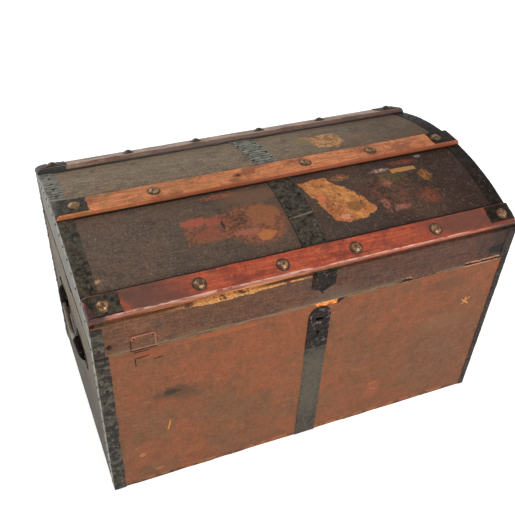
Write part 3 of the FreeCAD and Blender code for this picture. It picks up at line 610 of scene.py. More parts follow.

    # painted shadow: dark lines on the canvas along the slats' edges and the band's left edge
    front_slat_back_shade = y.within(slat_side("front", 1) - 0.002, slat_side("front", 1) + 0.007, 0.0015)
    center_slat_front_shade = y.within(slat_side("center", -1) - 0.0025, slat_side("center", -1) + 0.002, 0.001)
    center_slat_back_shade = y.within(slat_side("center", 1) - 0.002, slat_side("center", 1) + 0.0035, 0.0015)
    back_slat_front_shade = y.within(slat_side("back", -1) - 0.004, slat_side("back", -1) + 0.002, 0.0015)
    band_edge_shade = x.within(-0.019, -0.017, 0.0005) * y.step(0, -0.02)
    for shade_line in (front_slat_back_shade, center_slat_front_shade, center_slat_back_shade, back_slat_front_shade, band_edge_shade):
        stain_and_shade(shade_line, (24, 18, 15), 0.9)

    seam = z.step(LID_BOTTOM + 0.0045, LID_BOTTOM + 0.001) * middle.step(0.36, 0.5)
    p.coat((132, 114, 90), seam, 0.7)
    low = vertical * z.step(LID_BOTTOM + 0.016, LID_BOTTOM) * large.step(0.42, 0.55)
    p.coat((112, 98, 76), low, 0.5)
    pale = fore * p.blob(x, z, (0.03, 0.413), (0.08, 0.024), 79, 0.5, 0.012, 0.8)
    p.coat((116, 106, 90), pale, 0.2)
    smoky = fore * p.blob(x, z, (0.415, 0.442), (0.12, 0.1), 84, 0.6, 0.02, 0.6)
    p.coat((40, 27, 22), smoky, 0.8)
    open_seam = fore * (x.within(0.322, 0.405, 0.003) | x.within(0.176, 0.198, 0.002))
    waves = p.noise(0.018, 89, 4, 0.7)
    seam_z = waves * 0.012 + z - (LID_BOTTOM + 0.006)
    # painted shadow in the gap under the lifted canvas edge
    p.coat((16, 11, 9), open_seam, seam_z.step(0.0058, 0.0042))
    pale_rim = seam_z.within(0.007, 0.0092, 0.0008) * waves.step(0.4, 0.5)
    p.coat((196, 134, 100), open_seam, pale_rim, 0.8)
    cracks = fore * (abs(z - 0.428) - 0.0008).ragged(0.003, 0.05, 0.0006, 85) * x.step(-0.02, 0.1)
    p.coat((44, 28, 22), cracks, 0.55)
    reach = x.within(-0.25, -0.11, 0.05) * -0.0042 + (EAVE_Z - 0.0018)
    worn = (reach - z).ragged(0.003, 0.02, 0.0008, 80)
    gaps = p.noise(0.022, 81, 4, 0.7, stretch=(1.5, 1, 1)).step(0.4, 0.48)
    bright = gaps * (x.within(-0.27, -0.02, 0.04) * 0.85 + 0.08) * x.step(0.3, 0.05)
    frayed = p.mix(p.noise(0.0025, 87, 4, 0.75, stretch=(1.6, 1, 1)).step(0.36, 0.56), (132, 84, 50),
                   (214, 150, 86))
    spread = x.within(-0.26, -0.12, 0.03) | y.step(-0.2436, -0.2446)
    p.coat(frayed, fore, worn, bright, spread)
    burnt = fore * p.blob(x, z, (0.398, 0.42), (0.055, 0.02), 88, 0.7, 0.008, 0.3)
    p.coat((18, 13, 14), burnt, 0.9)
    tab = fore * x.within(-0.3615, -0.3155, 0.0003) * z.step(0.4285, 0.428)
    edges = z.step(0.4245, 0.4262) | p.blob(x, z, (-0.359, 0.427), (0.018, 0.014), 83, 0.4, 0.008)
    edges = edges | x.step(-0.3185, -0.3175) * middle.step(0.45, 0.55)
    edges = edges * p.noise(0.01, 86, 4, 0.7).step(0.36, 0.5)
    p.coat((176, 110, 90), tab, edges, 0.7)
    p.coat((52, 34, 34), tab, x.step(-0.3595, -0.3605), z.step(0.418, 0.414))
    # painted highlight along the tab's lifted bottom edge, and painted shadow below it
    p.coat((186, 120, 96), tab, z.within(0.3975, 0.399, 0.0004), 0.6)
    p.coat((42, 24, 22), tab, z.step(0.3972, 0.3966))
    p.bump(label * top, 0.0003)
    return p.done(middle * 0.3 + 0.36, specular=0.15)


def end_canvas_paint():
    """The lid's end canvas: dusty, and paler than the top, the paleness partly painted sheen."""
    p = Paint("lid_end_canvas")
    z = p.z
    middle = p.noise(0.04, 61)
    p.color = p.mix(middle.step(0.35, 0.65), (120, 114, 104), (140, 134, 124))
    cloth(p, 340, 0.26)
    # painted shadow: the seam along the bottom edge drawn black
    p.coat((12, 9, 8), z.step(LID_BOTTOM + 0.0055, LID_BOTTOM + 0.0045))
    return p.done(middle * 0.25 + 0.42, specular=0.22, tone=(0.64, 0.64, 0.57))


def slat_paint(name, base, dark, light, seed, tint, edge=None):
    """Varnished hardwood: long grain, stains, a dark ring round the nails, a painted highlight on the front
    slat's ridge and painted shade at the feet of the others; edge is its front side's colour.
    """
    tilt = SLAT_TILTS[name]
    p = Paint(name + "_slat_wood")
    x, y, z = p.x, p.y, p.z
    grain = p.noise(0.005, seed, 5, 0.65, stretch=(14, 1, 1))
    fibre = p.noise(0.002, seed + 1, 3, stretch=(22, 1, 1))
    blotch = p.noise(0.045, seed + 2, 5, 0.65, stretch=(1.5, 1, 1))
    spots = p.noise(0.01, seed + 3, 4, 0.65)
    p.color = p.mix(grain.step(0.38, 0.62), base, light)
    stained = 0.65 if name == "front" else 0.85
    p.coat(dark, blotch.step(0.47, 0.6), stained)
    p.coat(light, p.noise(0.03, seed + 16, 5).step(0.54, 0.64), 0.6)
    p.coat(dark, spots.step(0.53, 0.64), stained - 0.2)
    contrast = 0.24 if name == "front" else 0.34
    p.grade(fibre, 0.3, 0.7, 1 - contrast, 1 + contrast)
    p.grade(p.noise(0.004, seed + 4, 4, 0.75), 0.32, 0.68, 0.75, 1.25)
    if name == "front":
        left_dark = x.step(-0.16, -0.34) * p.noise(0.05, seed + 5).step(0.3, 0.5)
        p.coat((92, 66, 58), left_dark, 0.85)
        right_tone = x.step(0.05, 0.3) * 0.5
        p.coat((134, 62, 46), right_tone)
        right_dark = p.blob(x, y, (0.31, -0.22), (0.14, 0.04), seed + 6, 0.5, 0.03, 0.5)
        p.coat((96, 62, 52), right_dark, 0.7)
        ridge_z = AXIS_Z + SLAT_RADIUS * math.cos(tilt) - SLAT_WIDTH / 2 * math.sin(tilt)
        ridge_top = x.step(0.05, -0.05) * 0.0007 + (ridge_z + 0.0008)
        near_ridge = z - ridge_top
        ridge = near_ridge.ragged(0.0007, 0.02, 0.0006, seed + 7)
        tone = p.mix(p.noise(0.03, seed + 8, stretch=(4, 1, 1)).step(0.4, 0.6), (142, 76, 58),
                     (168, 104, 88))
        tone = p.mix(x.step(0, 0.15), tone, (170, 86, 60))
        tone = p.mix(x.step(0.33, 0.4), tone, (78, 46, 38))
        rubbed = p.noise(0.0035, seed + 19, 4, 0.7, stretch=(7, 1, 1))
        tone = p.shade(tone, rubbed, 0.34, 0.66, 0.6, 1.35)
        p.coat(tone, ridge, 0.9)
        # painted highlight: a thin pale line along the top of the ridge
        ridge_highlight = (abs(near_ridge + 0.0002) - 0.0007).ragged(0.0004, 0.03, 0.0004, seed + 14)
        ridge_highlight = ridge_highlight * x.step(0.36, 0.25) * p.noise(0.05, seed + 15).step(0.34, 0.46)
        p.coat((232, 186, 168), ridge_highlight, rubbed.step(0.36, 0.52), 0.9)
        raw = x.step(-0.385, -0.4) * y.step(-0.206, -0.214)
        p.coat(p.mix(rubbed.step(0.4, 0.6), (34, 20, 20), (92, 46, 40)), raw, 0.9)
        across = p.slat_across(name)
        cap_line = across.within(-0.0182, -0.0156, 0.0006) * x.step(-0.36, -0.366)
        p.coat((16, 10, 10), cap_line, 0.85)
        foot = p.noise(0.012, seed + 17, 5, 0.7, stretch=(2, 1, 1)) * 0.006 + (ridge_z - 0.009)
        under = z - foot
        line = under.step(0.0022, 0.0016) * p.noise(0.02, seed + 18).step(0.44, 0.56)
        p.coat((92, 48, 34), line, 0.7)
        raw_wood = p.mix(grain.step(0.4, 0.56), (150, 84, 46), (222, 156, 92))
        below = p.mix(x.within(-0.31, 0.02, 0.05), (120, 66, 44), raw_wood)
        below = p.mix(x.step(0.1, 0.3), below, (84, 50, 38))
        p.coat(below, under.step(0.0006, -0.0004))
    else:
        if name == "center":
            mould = p.noise(0.03, seed + 19).step(0.46, 0.58) * x.step(-0.02, -0.2)
            mould = mould * p.noise(0.008, seed + 20, 4, 0.7).step(0.38, 0.54)
            p.coat((140, 104, 54), mould, 0.55)
        lower = p.facing_y.step(-0.35, -0.75) * (x.step(-0.15, -0.32) * -0.7 + 1)
        p.coat(edge, lower, 0.85)
        # painted shade along the foot of the front side, where the slat meets the canvas
        seat_z = AXIS_Z + DOME_RADIUS * math.cos(tilt) - SLAT_WIDTH / 2 * math.sin(tilt) - 0.0005
        foot = z.step(seat_z + 0.0045, seat_z + 0.002)
        p.coat((34, 20, 15), p.facing_y.step(-0.35, -0.75), foot)
        if name == "back":
            # the front side of the left end painted near black
            dark_left_side = x.step(-0.364, -0.37) * p.facing_y.step(-0.25, -0.5)
            p.coat((28, 24, 22), dark_left_side)
    reach = p.nail_reach(name)
    ring = (reach - 0.0132).ragged(0.0007, 0.008, 0.0008, seed + 9)
    p.coat((44, 28, 22), ring, 0.8)
    if name == "center":
        place = (LOST_NAIL_HOLE, -SLAT_RADIUS * math.sin(tilt))
        hole = p.blob(x, y, place, (0.017, 0.017), seed + 12, 0.25, 0.008, 0.3)
        p.coat((96, 48, 30), hole, 0.7)
        pit = p.blob(x, y, place, (0.007, 0.007), seed + 13, 0.2, 0.005, 0.15)
        p.coat((22, 14, 10), pit)
    p.bump(grain, 0.0007, 0.7)
    p.bump(fibre, 0.0004, 0.6)
    p.bump(spots, 0.0006, 0.5)
    return p.done(blotch * 0.3 + 0.3, specular=0.4, tone=tint)


def iron_paint(name, dark, worn, seed, tone, creased=False, gloss_and_glints=False, shine=0.18, metallic=0.1):
    """Blackened sheet iron, lumpy with old paint, rubbed paler in places; painted glints, and on the band
    painted sheen and painted shade in its folds.
    """
    p = Paint(name)
    x, y, z = p.x, p.y, p.z
    large = p.noise(0.05, seed)
    lumps = p.noise(0.011, seed + 1, 5, 0.65)
    fine = p.noise(0.0035, seed + 2, 4, 0.7)
    p.color = p.mix(lumps.step(0.34, 0.68) if creased else lumps.step(0.42, 0.62), dark, worn)
    p.coat(worn, large.step(0.5, 0.62), 0.4)
    p.grade(fine, 0.32, 0.68, 0.7, 1.3)
    if not gloss_and_glints:
        glint = p.noise(0.007, seed + 5, 4, 0.7).step(0.58, 0.64) * 0.4
        p.coat((134, 124, 110), glint)
    rust = p.noise(0.02, seed + 3, 5, 0.7).step(0.56, 0.66)
    p.coat((92, 60, 44), rust, 0.4)
    if name == "black_iron":
        on_band = x.within(-0.03, 0.04, 0.002) * z.step(0.28, 0.27)
        p.coat((104, 92, 82), on_band)
        left_caps = x.step(-0.33, -0.36) * z.step(0.47, 0.474) * y.step(0.1, 0.05)
        p.coat(p.mix(lumps.step(0.38, 0.64), (58, 58, 50), (116, 116, 102)), left_caps, 0.75)
    if creased:
        # painted sheen: the back half of the top and the end-facing legs paler grey-green
        pale = z.step(0.42, 0.44) * y.step(0, 0.03) | abs(p.facing_x).step(0.6, 0.9)
        wander = p.noise(0.02, seed + 4) * 0.01 + y
        crease = p.math("SINE", wander * (2 * math.pi / 0.0105))
        sheen_tone = p.mix(lumps.step(0.4, 0.6), (104, 104, 94), (158, 156, 144))
        p.coat(sheen_tone, pale, 0.85)
        # painted shade: dark stripes in the creases, which are bumped as well
        folds = crease.step(0.55, 0.95) * z.step(0.42, 0.44) * y.step(0, 0.03)
        p.coat((26, 24, 22), folds, 0.9)
        strap = y.step(-0.24, -0.245) * x.within(-0.03, 0.04, 0.002)
        ends_dark = z.step(0.11, 0.02) | z.step(0.235, 0.27)
        p.coat((82, 74, 60), strap, ends_dark * -0.65 + 0.65)
        p.coat((40, 36, 31), strap, ends_dark, 0.35)
        low_corner = abs(p.facing_x).step(0.9, 0.6) * z.step(0.468, 0.462)
        low_corner = low_corner * x.step(-0.3, -0.35) * y.step(-0.2, -0.24)
        p.coat((26, 24, 20), low_corner, lumps.step(0.62, 0.4), 0.85)
        p.coat((48, 30, 34), low_corner, z.within(0.396, 0.409, 0.001), 0.8)
        # painted shadow: the seam between lid and body drawn near black on the corner irons
        p.coat((14, 10, 9), low_corner, z.within(0.387, 0.3938, 0.0008), 0.9)
        p.coat((22, 18, 16), low_corner, z.step(0.447, 0.452), 0.7)
        p.bump(folds, 0.001, 0.6)
        on_band = x.within(-0.03, 0.05, 0.002) * z.step(0.45, 0.46) * y.step(-0.02, -0.04)
        cross = (y + x * -0.12).within(-0.1255, -0.1225, 0.0008)
        p.coat((142, 130, 112), on_band, cross, 0.7)
    p.bump(lumps, 0.0016, 0.8)
    p.bump(fine, 0.0006, 0.7)
    if gloss_and_glints:
        # painted highlights: pale grey glints on the raised peaks
        glint_peaks = p.noise(0.011, seed + 6, 4, 0.6).step(0.56, 0.61)
        p.coat((118, 106, 106), glint_peaks, 0.7)
        p.bump(glint_peaks, 0.002, 0.8)
        return p.done(lumps * 0.3 + 0.22, metallic=0.05, specular=0.1, tone=tone)
    return p.done(lumps * 0.35 + 0.32, metallic=metallic, specular=shine, tone=tone)


def brass_paint():
    """Tarnished brass: brown in the hollows, dark round the rim, yellow where it is rubbed."""
    p = Paint("nail_brass")
    x, y = p.x, p.y
    lumps = p.noise(0.006, 91, 5, 0.65)
    fine = p.noise(0.002, 92, 4, 0.7)
    p.color = p.mix(lumps.step(0.44, 0.58), (104, 72, 48), (188, 144, 98))
    left = x.step(-0.33, -0.36) * y.step(-0.1, 0) * y.step(0.1, 0)
    p.coat((168, 138, 84), left, 0.5)
    p.coat((70, 56, 46), y.step(0.1, 0.15))
    p.coat((50, 36, 28), fine.step(0.5, 0.6), 0.6)
    reach = p.nail_reach("front") & p.nail_reach("center")
    reach = reach & p.nail_reach("back")
    p.coat((52, 40, 28), reach.step(0.0085, 0.0105), 0.65)
    p.bump(lumps, 0.0008, 0.7)
    p.bump(fine, 0.0003, 0.6)
    return p.done(fine * 0.3 + 0.22, metallic=0.45, specular=0.6)


def board_paint():
    """Old softwood boards, bare and bright where the canvas is torn at the lock; painted shade at the rims
    and behind the lock's openings.
    """
    p = Paint("board_wood")
    x, y, z = p.x, p.y, p.z
    grain = p.noise(0.006, 71, 5, stretch=(25, 1, 1))
    blotch = p.noise(0.09, 72)
    p.color = p.mix(grain.step(0.35, 0.65), (150, 112, 74), (178, 140, 96))
    p.coat((112, 82, 56), blotch.step(0.45, 0.65), 0.5)
    # painted shade: dark where the rims show in the seam gap
    rim = z.within(0.385, 0.4, 0.002)
    p.coat((30, 22, 17), rim, 0.9)
    # painted shade: black behind the keyhole and the slot
    hole_shade = x.within(-0.008, 0.015, 0.002) * z.within(0.303, 0.36, 0.002) * y.step(-0.22, -0.225)
    p.coat((14, 10, 8), hole_shade)
    chip = z.within(0.366, BODY_TOP, 0.0005) * y.step(-0.236, -0.24) * x.within(-0.02, 0.046, 0.002)
    bright = p.mix(p.noise(0.005, 73).step(0.4, 0.6), (200, 104, 44), (236, 160, 84))
    bright = p.mix(x.step(0.035, 0.04), bright, (60, 26, 18))
    p.coat(bright, chip)
    p.bump(grain, 0.0006, 0.6)
    return p.done(0.65, specular=0.15)


def leather_paint():
    """Dry, dusty leather; its pale grey is partly painted sheen."""
    p = Paint("handle_leather")
    pores = p.noise(0.0016, 81, 4, 0.7)
    cracks = p.noise(0.008, 82, 6, 0.75, stretch=(1, 0.4, 1))
    p.color = p.mix(cracks.step(0.4, 0.62), (104, 92, 78), (130, 120, 108))
    p.coat((70, 56, 46), pores.step(0.55, 0.7), 0.5)
    p.bump(cracks, 0.0006, 0.7)
    p.bump(pores, 0.0002, 0.6)
    return p.done(0.55, specular=0.4)


BODY_CANVAS = body_canvas_paint()
LID_CANVAS = lid_canvas_paint()
END_CANVAS = end_canvas_paint()
BOARD_WOOD = board_paint()
BRASS = brass_paint()
LEATHER = leather_paint()
BLACK_IRON = iron_paint("black_iron", (30, 26, 23), (66, 58, 50), 101, (0.60, 0.50, 0.46))
HOOD_IRON = iron_paint("hood_iron", (16, 14, 13), (34, 30, 27), 151, (0.55, 0.45, 0.40), shine=0.02,
                       metallic=0.0)
LOCK_IRON = iron_paint("lock_iron", (22, 19, 17), (40, 34, 31), 131, (0.85, 0.76, 0.72), gloss_and_glints=True)
BAND_IRON = iron_paint("band_iron", (34, 31, 25), (88, 80, 66), 111, (1.0, 1.0, 1.0), creased=True)
SLAT_WOODS = {
    "front": slat_paint("front", (168, 66, 42), (112, 52, 40), (194, 92, 60), 121, (0.98, 0.98, 0.92)),
    "center": slat_paint("center", (178, 106, 70), (134, 78, 52), (200, 128, 86), 141, (1.20, 1.12, 0.92),
                         edge=(138, 70, 44)),
    "back": slat_paint("back", (150, 122, 104), (110, 78, 62), (166, 142, 124), 161, (1.05, 0.95, 0.85),
                       edge=(84, 50, 36)),
}


# Canvas skins

def rounded_rectangle(half_x, half_y, radius, pitch):
    """Points and outward normals round a rectangle with rounded corners, as (n, 2) arrays."""
    points = []
    normals = []
    corners = ((1, 1, 0.0), (-1, 1, 0.5), (-1, -1, 1.0), (1, -1, 1.5))
    for i, (sx, sy, start) in enumerate(corners):
        center = np.array([sx * (half_x - radius), sy * (half_y - radius)])
        for t in np.linspace(0, 0.5, 5):
            turn = math.pi * (start + t)
            normal = np.array([math.cos(turn), math.sin(turn)])
            points.append(center + radius * normal)
            normals.append(normal)
        nx, ny, _ = corners[(i + 1) % 4]
        other = np.array([nx * (half_x - radius), ny * (half_y - radius)]) + radius * normals[-1]
        first = points[-1]
        for t in np.linspace(0, 1, int(np.linalg.norm(other - first) / pitch) + 1)[1:-1]:
            points.append(first + (other - first) * t)
            normals.append(normals[-1])
    return np.array(points), np.array(normals)


def make_body_skin():
    ring, normals = rounded_rectangle(HALF_LENGTH, HALF_DEPTH, 0.003, 0.0045)
    x, y = ring.T
    flat = grid(x, y, 0)
    hem = 0.0006 + 0.004 * np.clip(fractal(flat, 0.05, 3) - 0.15, 0, 1)
    rim = BODY_TOP - 0.0012 * np.clip(fractal(flat, 0.02, 4), 0, 1)
    chip = smooth(-0.010, 0.000, x) * smooth(0.050, 0.045, x) * (y < -HALF_DEPTH + 0.004)
    rim = rim - chip * (0.010 + 0.003 * fractal(flat, 0.012, 5))
    rim = rim - 0.0025 * (np.abs(x) > HALF_LENGTH - 0.0005)
    share = np.linspace(0, 1, 80)[:, None]
    base = grid(x, y, hem * (1 - share) + rim * share)
    out = grid(*normals.T, 0)
    bulge = 0.0005 * fractal(base, 0.14, 1) + 0.00018 * fractal(base, 0.018, 2)
    shape = shell(base + out * bulge[..., None], base - out * CANVAS, wrap=True)
    add_piece("body_skin", shape, "trunk_body", ["body_canvas"], BODY_CANVAS,
              openings=(keyhole_outline(), slot_outline()))


def lid_section():
    """Points (y, z) and normals of the lid's outline from front rim, over the dome, to back rim."""
    bend = EAVE_ANGLE - math.radians(0.3)
    leg = np.linspace(LID_BOTTOM, EAVE_Z - 0.002, 16)
    half = [(-HALF_DEPTH, z) for z in leg]
    eave = on_dome(DOME_RADIUS, np.array([EAVE_ANGLE, bend]), 0)[:, 1:]
    start = np.array(half[-1])
    for t in (0.3, 0.6, 0.85):
        half.append(tuple((1 - t) ** 2 * start + 2 * t * (1 - t) * eave[0] + t * t * eave[1]))
    half.extend(on_dome(DOME_RADIUS, np.linspace(bend, 0, 56), 0)[:, 1:])
    half = np.array(half)
    outline = np.vstack([half, half[-2::-1] * [-1, 1]])
    tangent = np.gradient(outline, axis=0)
    tangent /= np.linalg.norm(tangent, axis=1)[:, None]
    return outline, np.column_stack([-tangent[:, 1], tangent[:, 0]])


def make_lid_skin():
    outline, normal = lid_section()
    x = np.linspace(-HALF_LENGTH + 0.0002, HALF_LENGTH - 0.0002, 190)
    base = grid(x, outline[:, :1], outline[:, 1:])
    out = grid(0 * x, normal[:, :1], normal[:, 1:])
    y, z = base[..., 1], base[..., 2]
    bulge = 0.0005 * fractal(base, 0.12, 11) + 0.00018 * fractal(base, 0.016, 12)
    front = y < -HALF_DEPTH + 0.002
    curl = smooth(0.318, 0.328, x) * smooth(0.408, 0.398, x)
    nick = smooth(0.166, 0.172, x) * smooth(0.210, 0.204, x)
    bulge = bulge + (0.0024 * curl + 0.0012 * nick) * smooth(LID_BOTTOM + 0.016, LID_BOTTOM, z) * front
    outer = base + out * bulge[..., None]
    edge = smooth(LID_BOTTOM + 0.006, LID_BOTTOM, z) * front
    outer[..., 2] += edge * (0.0028 * curl + 0.0018 * nick) * (1 + 0.6 * fractal(base, 0.02, 13))
    inner = outer - out * (CANVAS + np.minimum(bulge, 0)[..., None])
    add_piece("lid_skin", shell(outer, inner), "lid", ["lid_top_canvas"], LID_CANVAS)


def make_lid_end_skin(side, sign):
    y = np.linspace(-HALF_DEPTH + 0.0003, HALF_DEPTH - 0.0003, 90)
    top = AXIS_Z + np.sqrt((DOME_RADIUS - 0.0003) ** 2 - y ** 2)
    share = np.linspace(0, 1, 26)[:, None]
    base = grid(sign * HALF_LENGTH, y, (LID_BOTTOM + 0.0040) * (1 - share) + top * share)
    shape = dented(base, np.array([sign, 0, 0]), 0.0005 * fractal(base, 0.1, 14), -0.0004, 0.0008)
    add_piece("lid_" + side + "_end_skin", shape, "lid", ["lid_" + side + "_end_canvas"],
              END_CANVAS)


# Slats

def slat_loop(front_ease, back_ease, seat):
    """Section of a slat, as (y, height above the dome's axis), once round."""
    half = SLAT_WIDTH / 2
    top = SLAT_RADIUS
    points = [(y, math.sqrt(seat ** 2 - y ** 2)) for y in np.linspace(half, -half, 7)]
    points.append((-half, (seat + top - front_ease) / 2))
    for t in np.linspace(0, math.pi / 2, 6):
        points.append((-half + front_ease * (1 - math.cos(t)), top - front_ease * (1 - math.sin(t))))
    points += [(y, top) for y in np.linspace(-half + front_ease, half - back_ease, 12)[1:-1]]
    for t in np.linspace(math.pi / 2, 0, 6):
        points.append((half - back_ease * (1 - math.cos(t)), top - back_ease * (1 - math.sin(t))))
    points.append((half, (seat + top - back_ease) / 2))
    return points


def make_slat(name, wear, seed):
    """A worn slat: its front edge is rounded by an amount that wanders along its length."""
    ends = HALF_LENGTH - SLAT_END_RADIUS * (1 - np.sin(np.linspace(0, math.pi / 2, 9)))
    x = np.concatenate([-ends[::-1], np.linspace(-HALF_LENGTH, HALF_LENGTH, 228)[4:-4], ends])
    line = grid(x, 0, 0)
    front = np.clip(wear * (1 + 0.6 * fractal(line, 0.08, seed)), 0.0012, 0.008)
    back = np.clip(0.0022 * (1 + 0.5 * fractal(line, 0.06, seed + 1)), 0.001, 0.004)
    seat = DOME_RADIUS + 0.0002
    loops = np.array([slat_loop(f, b, seat) for f, b in zip(front, back)])
    into = np.clip(np.abs(x) - (HALF_LENGTH - SLAT_END_RADIUS), 0, SLAT_END_RADIUS)[:, None]
    drop = SLAT_END_RADIUS - np.sqrt(SLAT_END_RADIUS ** 2 - into ** 2)
    share = np.clip(1 - drop / SLAT_HEIGHT, 0.08, 1)
    rise = loops[..., 1] - seat
    rings = grid(x[:, None], loops[..., 0], seat + np.where(rise > 0, rise * share, rise))
    out = (rings - [0, 0, DOME_RADIUS + 0.006]) * [0, 1, 1]
    out /= np.linalg.norm(out, axis=-1)[..., None]
    lumps = 0.0003 * fractal(rings, (0.12, 0.012, 0.012), seed + 2)
    lumps += 0.00018 * fractal(rings, (0.03, 0.004, 0.004), seed + 3)
    above = smooth(DOME_RADIUS + 0.001, DOME_RADIUS + 0.004, rings[..., 2])
    rings = rings + out * (np.clip(lumps, -0.0008, 0.0004) * above)[..., None]
    shape = tube(tilted(rings, SLAT_TILTS[name]))
    add_piece(name + "_slat_worn", shape, "lid", [name + "_slat"], SLAT_WOODS[name])


# Ironwork

def make_cap(name, side, x_sign, seed, slant, front_gap, lumpy):
    """Iron strap bent over a slat's end; slant cuts its outer end away, more at the front."""
    half = SLAT_WIDTH / 2 - 0.0022
    length = CAP_LENGTH + 0.002 * rng.uniform(-1, 1)
    radius = SLAT_END_RADIUS + IRON
    start, end = HALF_LENGTH - length, HALF_LENGTH + IRON
    turns = np.linspace(0, math.pi / 2, 13)
    straight = np.linspace(start, end - radius, 14)[:-1]
    along = np.concatenate([straight, end - radius * (1 - np.sin(turns))])[:, None]
    lean = np.concatenate([0 * straight, turns])[:, None]
    across = np.linspace(-1, 1, 17)
    if slant:
        along = start + (along - start) * (end - slant * (1 - across) / 2 - start) / (end - start)
        lean = np.arcsin(np.clip((along - end + radius) / radius, 0, 1))
    drop = radius * (1 - np.cos(lean))
    flat = grid(along, across * half, drop)
    along = along + smooth(start + 0.012, start, along) * 0.0022 * fractal(flat, 0.016, seed)
    y = across * (half + 0.0007 * fractal(flat * [1, 0, 0], 0.02, seed + 1)) + front_gap * (1 - across) / 2
    dents = lumpy * (fractal(flat, 0.022, seed + 2) + 0.4 * fractal(flat, 0.007, seed + 3))

    def layer(rise):
        height = CAP_RADIUS - drop + rise * np.cos(lean)
        return tilted(grid(x_sign * (along + rise * np.sin(lean)), y, height), SLAT_TILTS[name])

    shape = shell(layer(np.clip(dents, -0.0002, 1.6 * lumpy)), layer(-IRON))
    add_piece(name + "_" + side + "_cap", shape, "lid", [name + "_slat_" + side + "_cap"],
              BLACK_IRON)


def make_caps():
    for i, name in enumerate(SLAT_TILTS):
        slant, gap = (0.018, 0.006) if name == "front" else (0, 0)
        lumpy = 0.0018 if name == "back" else 0.0007
        make_cap(name, "left", -1, 200 + i * 10, slant, gap, lumpy)
        make_cap(name, "right", 1, 250 + i * 10, 0, gap, lumpy)


def nail_head(seed):
    """Domed nail head with a narrow brim, on z = 0, a little uneven."""
    profile = [(0.0, 0.0058), (0.0022, 0.0057), (0.0045, 0.0050), (0.0064, 0.0040), (0.0078, 0.0028),
               (0.0086, 0.0020), (0.0094, 0.0018), (0.0106, 0.0019), (0.0116, 0.0014), (0.0120, 0.0004),
               (0.0118, -0.0006)]
    turns = 40
    points = [(0.0, 0.0, profile[0][1])]
    for radius, height in profile[1:]:
        for i in range(turns):
            turn = 2 * math.pi * i / turns
            points.append((radius * math.cos(turn), radius * math.sin(turn), height))
    points.append((0.0, 0.0, -0.0006))
    points = np.array(points)
    dents = fractal(points + seed, 0.010, seed, 2)
    points[:, 2] += np.where(points[:, 2] > 0.001, 0.0004 * dents, 0.0)
    wobble = 1 + 0.03 * fractal(points * 0.7 + seed, 0.02, seed + 1, 2)
    points[:, :2] *= np.minimum(wobble, 1.0)[:, None]
    faces = [(0, 1 + i, 1 + (i + 1) % turns) for i in range(turns)]
    last = 1 + (len(profile) - 2) * turns
    for a in range(1, last, turns):
        b = a + turns
        faces += [(a + i, b + i, b + (i + 1) % turns, a + (i + 1) % turns) for i in range(turns)]
    faces += [(last + (i + 1) % turns, last + i, len(points) - 1) for i in range(turns)]
    return points, faces


def make_nails():
    parts = []
    seed = 300
    for name, tilt in SLAT_TILTS.items():
        for x in NAIL_STATIONS[name]:
            seed += 1
            points, faces = nail_head(seed)
            lean_x = Matrix.Rotation(rng.uniform(-0.05, 0.05), 3, "X")
            lean_y = Matrix.Rotation(rng.uniform(-0.05, 0.05), 3, "Y")
            seat = CAP_RADIUS if abs(x) > HALF_LENGTH - CAP_LENGTH else SLAT_RADIUS
            points = points @ np.array(lean_x @ lean_y).T + [x, 0.0, seat - 0.0001]
            parts.append((tilted(points, tilt), faces))
    add_piece("slat_nail_heads", merged(*parts), "lid", ["slat_nails"], BRASS)
    points, faces = nail_head(seed + 1)
    x, y, z = points.T * 0.40
    small = grid(x - 0.397, -HALF_DEPTH - 0.0012 - z, y + 0.414)
    add_piece("lid_corner_nail", (small, faces), "lid", [], BLACK_IRON)


def keyhole_outline():
    """Round hole with a slot below it."""
    z, radius, half, low = 0.318, 0.0035, 0.0014, 0.309
    start = math.asin(half / radius)
    turns = np.linspace(-math.pi / 2 + start, 1.5 * math.pi - start, 18)
    outline = [(KEYHOLE_X + radius * math.cos(t), z + radius * math.sin(t)) for t in turns]
    return outline + [(KEYHOLE_X - half, low), (KEYHOLE_X + half, low)]


def slot_outline():
    z, half_x, half_z = 0.352, 0.008, 0.004
    return [(KEYHOLE_X + a * half_x, z + b * half_z) for a, b in ((-1, -1), (1, -1), (1, 1), (-1, 1))]


def make_edge_band(side, sign):
    """Iron folded over the end of the dome, hammered and tacked."""
    angles = np.linspace(EAVE_ANGLE - 0.001, -EAVE_ANGLE + 0.001, 130)
    path = [(BAND_WIDTH - i * 0.0042, 0.0) for i in range(7)]
    path += [(0.0008, 0.0), (-0.0006, -0.0006), (-0.001, -0.002)]
    path += [(-0.001, -0.002 - i * 0.004) for i in range(1, 7)]
    inset, fall = np.array(path).T[..., None]
    edge = grid(angles * 0.5, 0, 0)
    inset = inset + np.clip(inset / BAND_WIDTH, 0, 1) * 0.0012 * fractal(edge, 0.02, 400 + sign)
    fall = fall + np.clip(-fall / BAND_FOLD, 0, 1) * 0.0015 * fractal(edge, 0.02, 410 + sign)
    points = on_dome(DOME_RADIUS + IRON + fall, angles, sign * (HALF_LENGTH - inset))
    lumps = 0.0005 * fractal(points, 0.012, 420 + sign) + 0.0005 * fractal(points, 0.04, 430 + sign)
    out = np.where((fall > -0.001)[..., None], outward(angles), [sign, 0.0, 0.0])
    add_piece("lid_" + side + "_band", dented(points, out, lumps, -0.0003, 0.0010), "lid",
              ["lid_" + side + "_edge_band"], BAND_IRON if sign < 0 else BLACK_IRON)


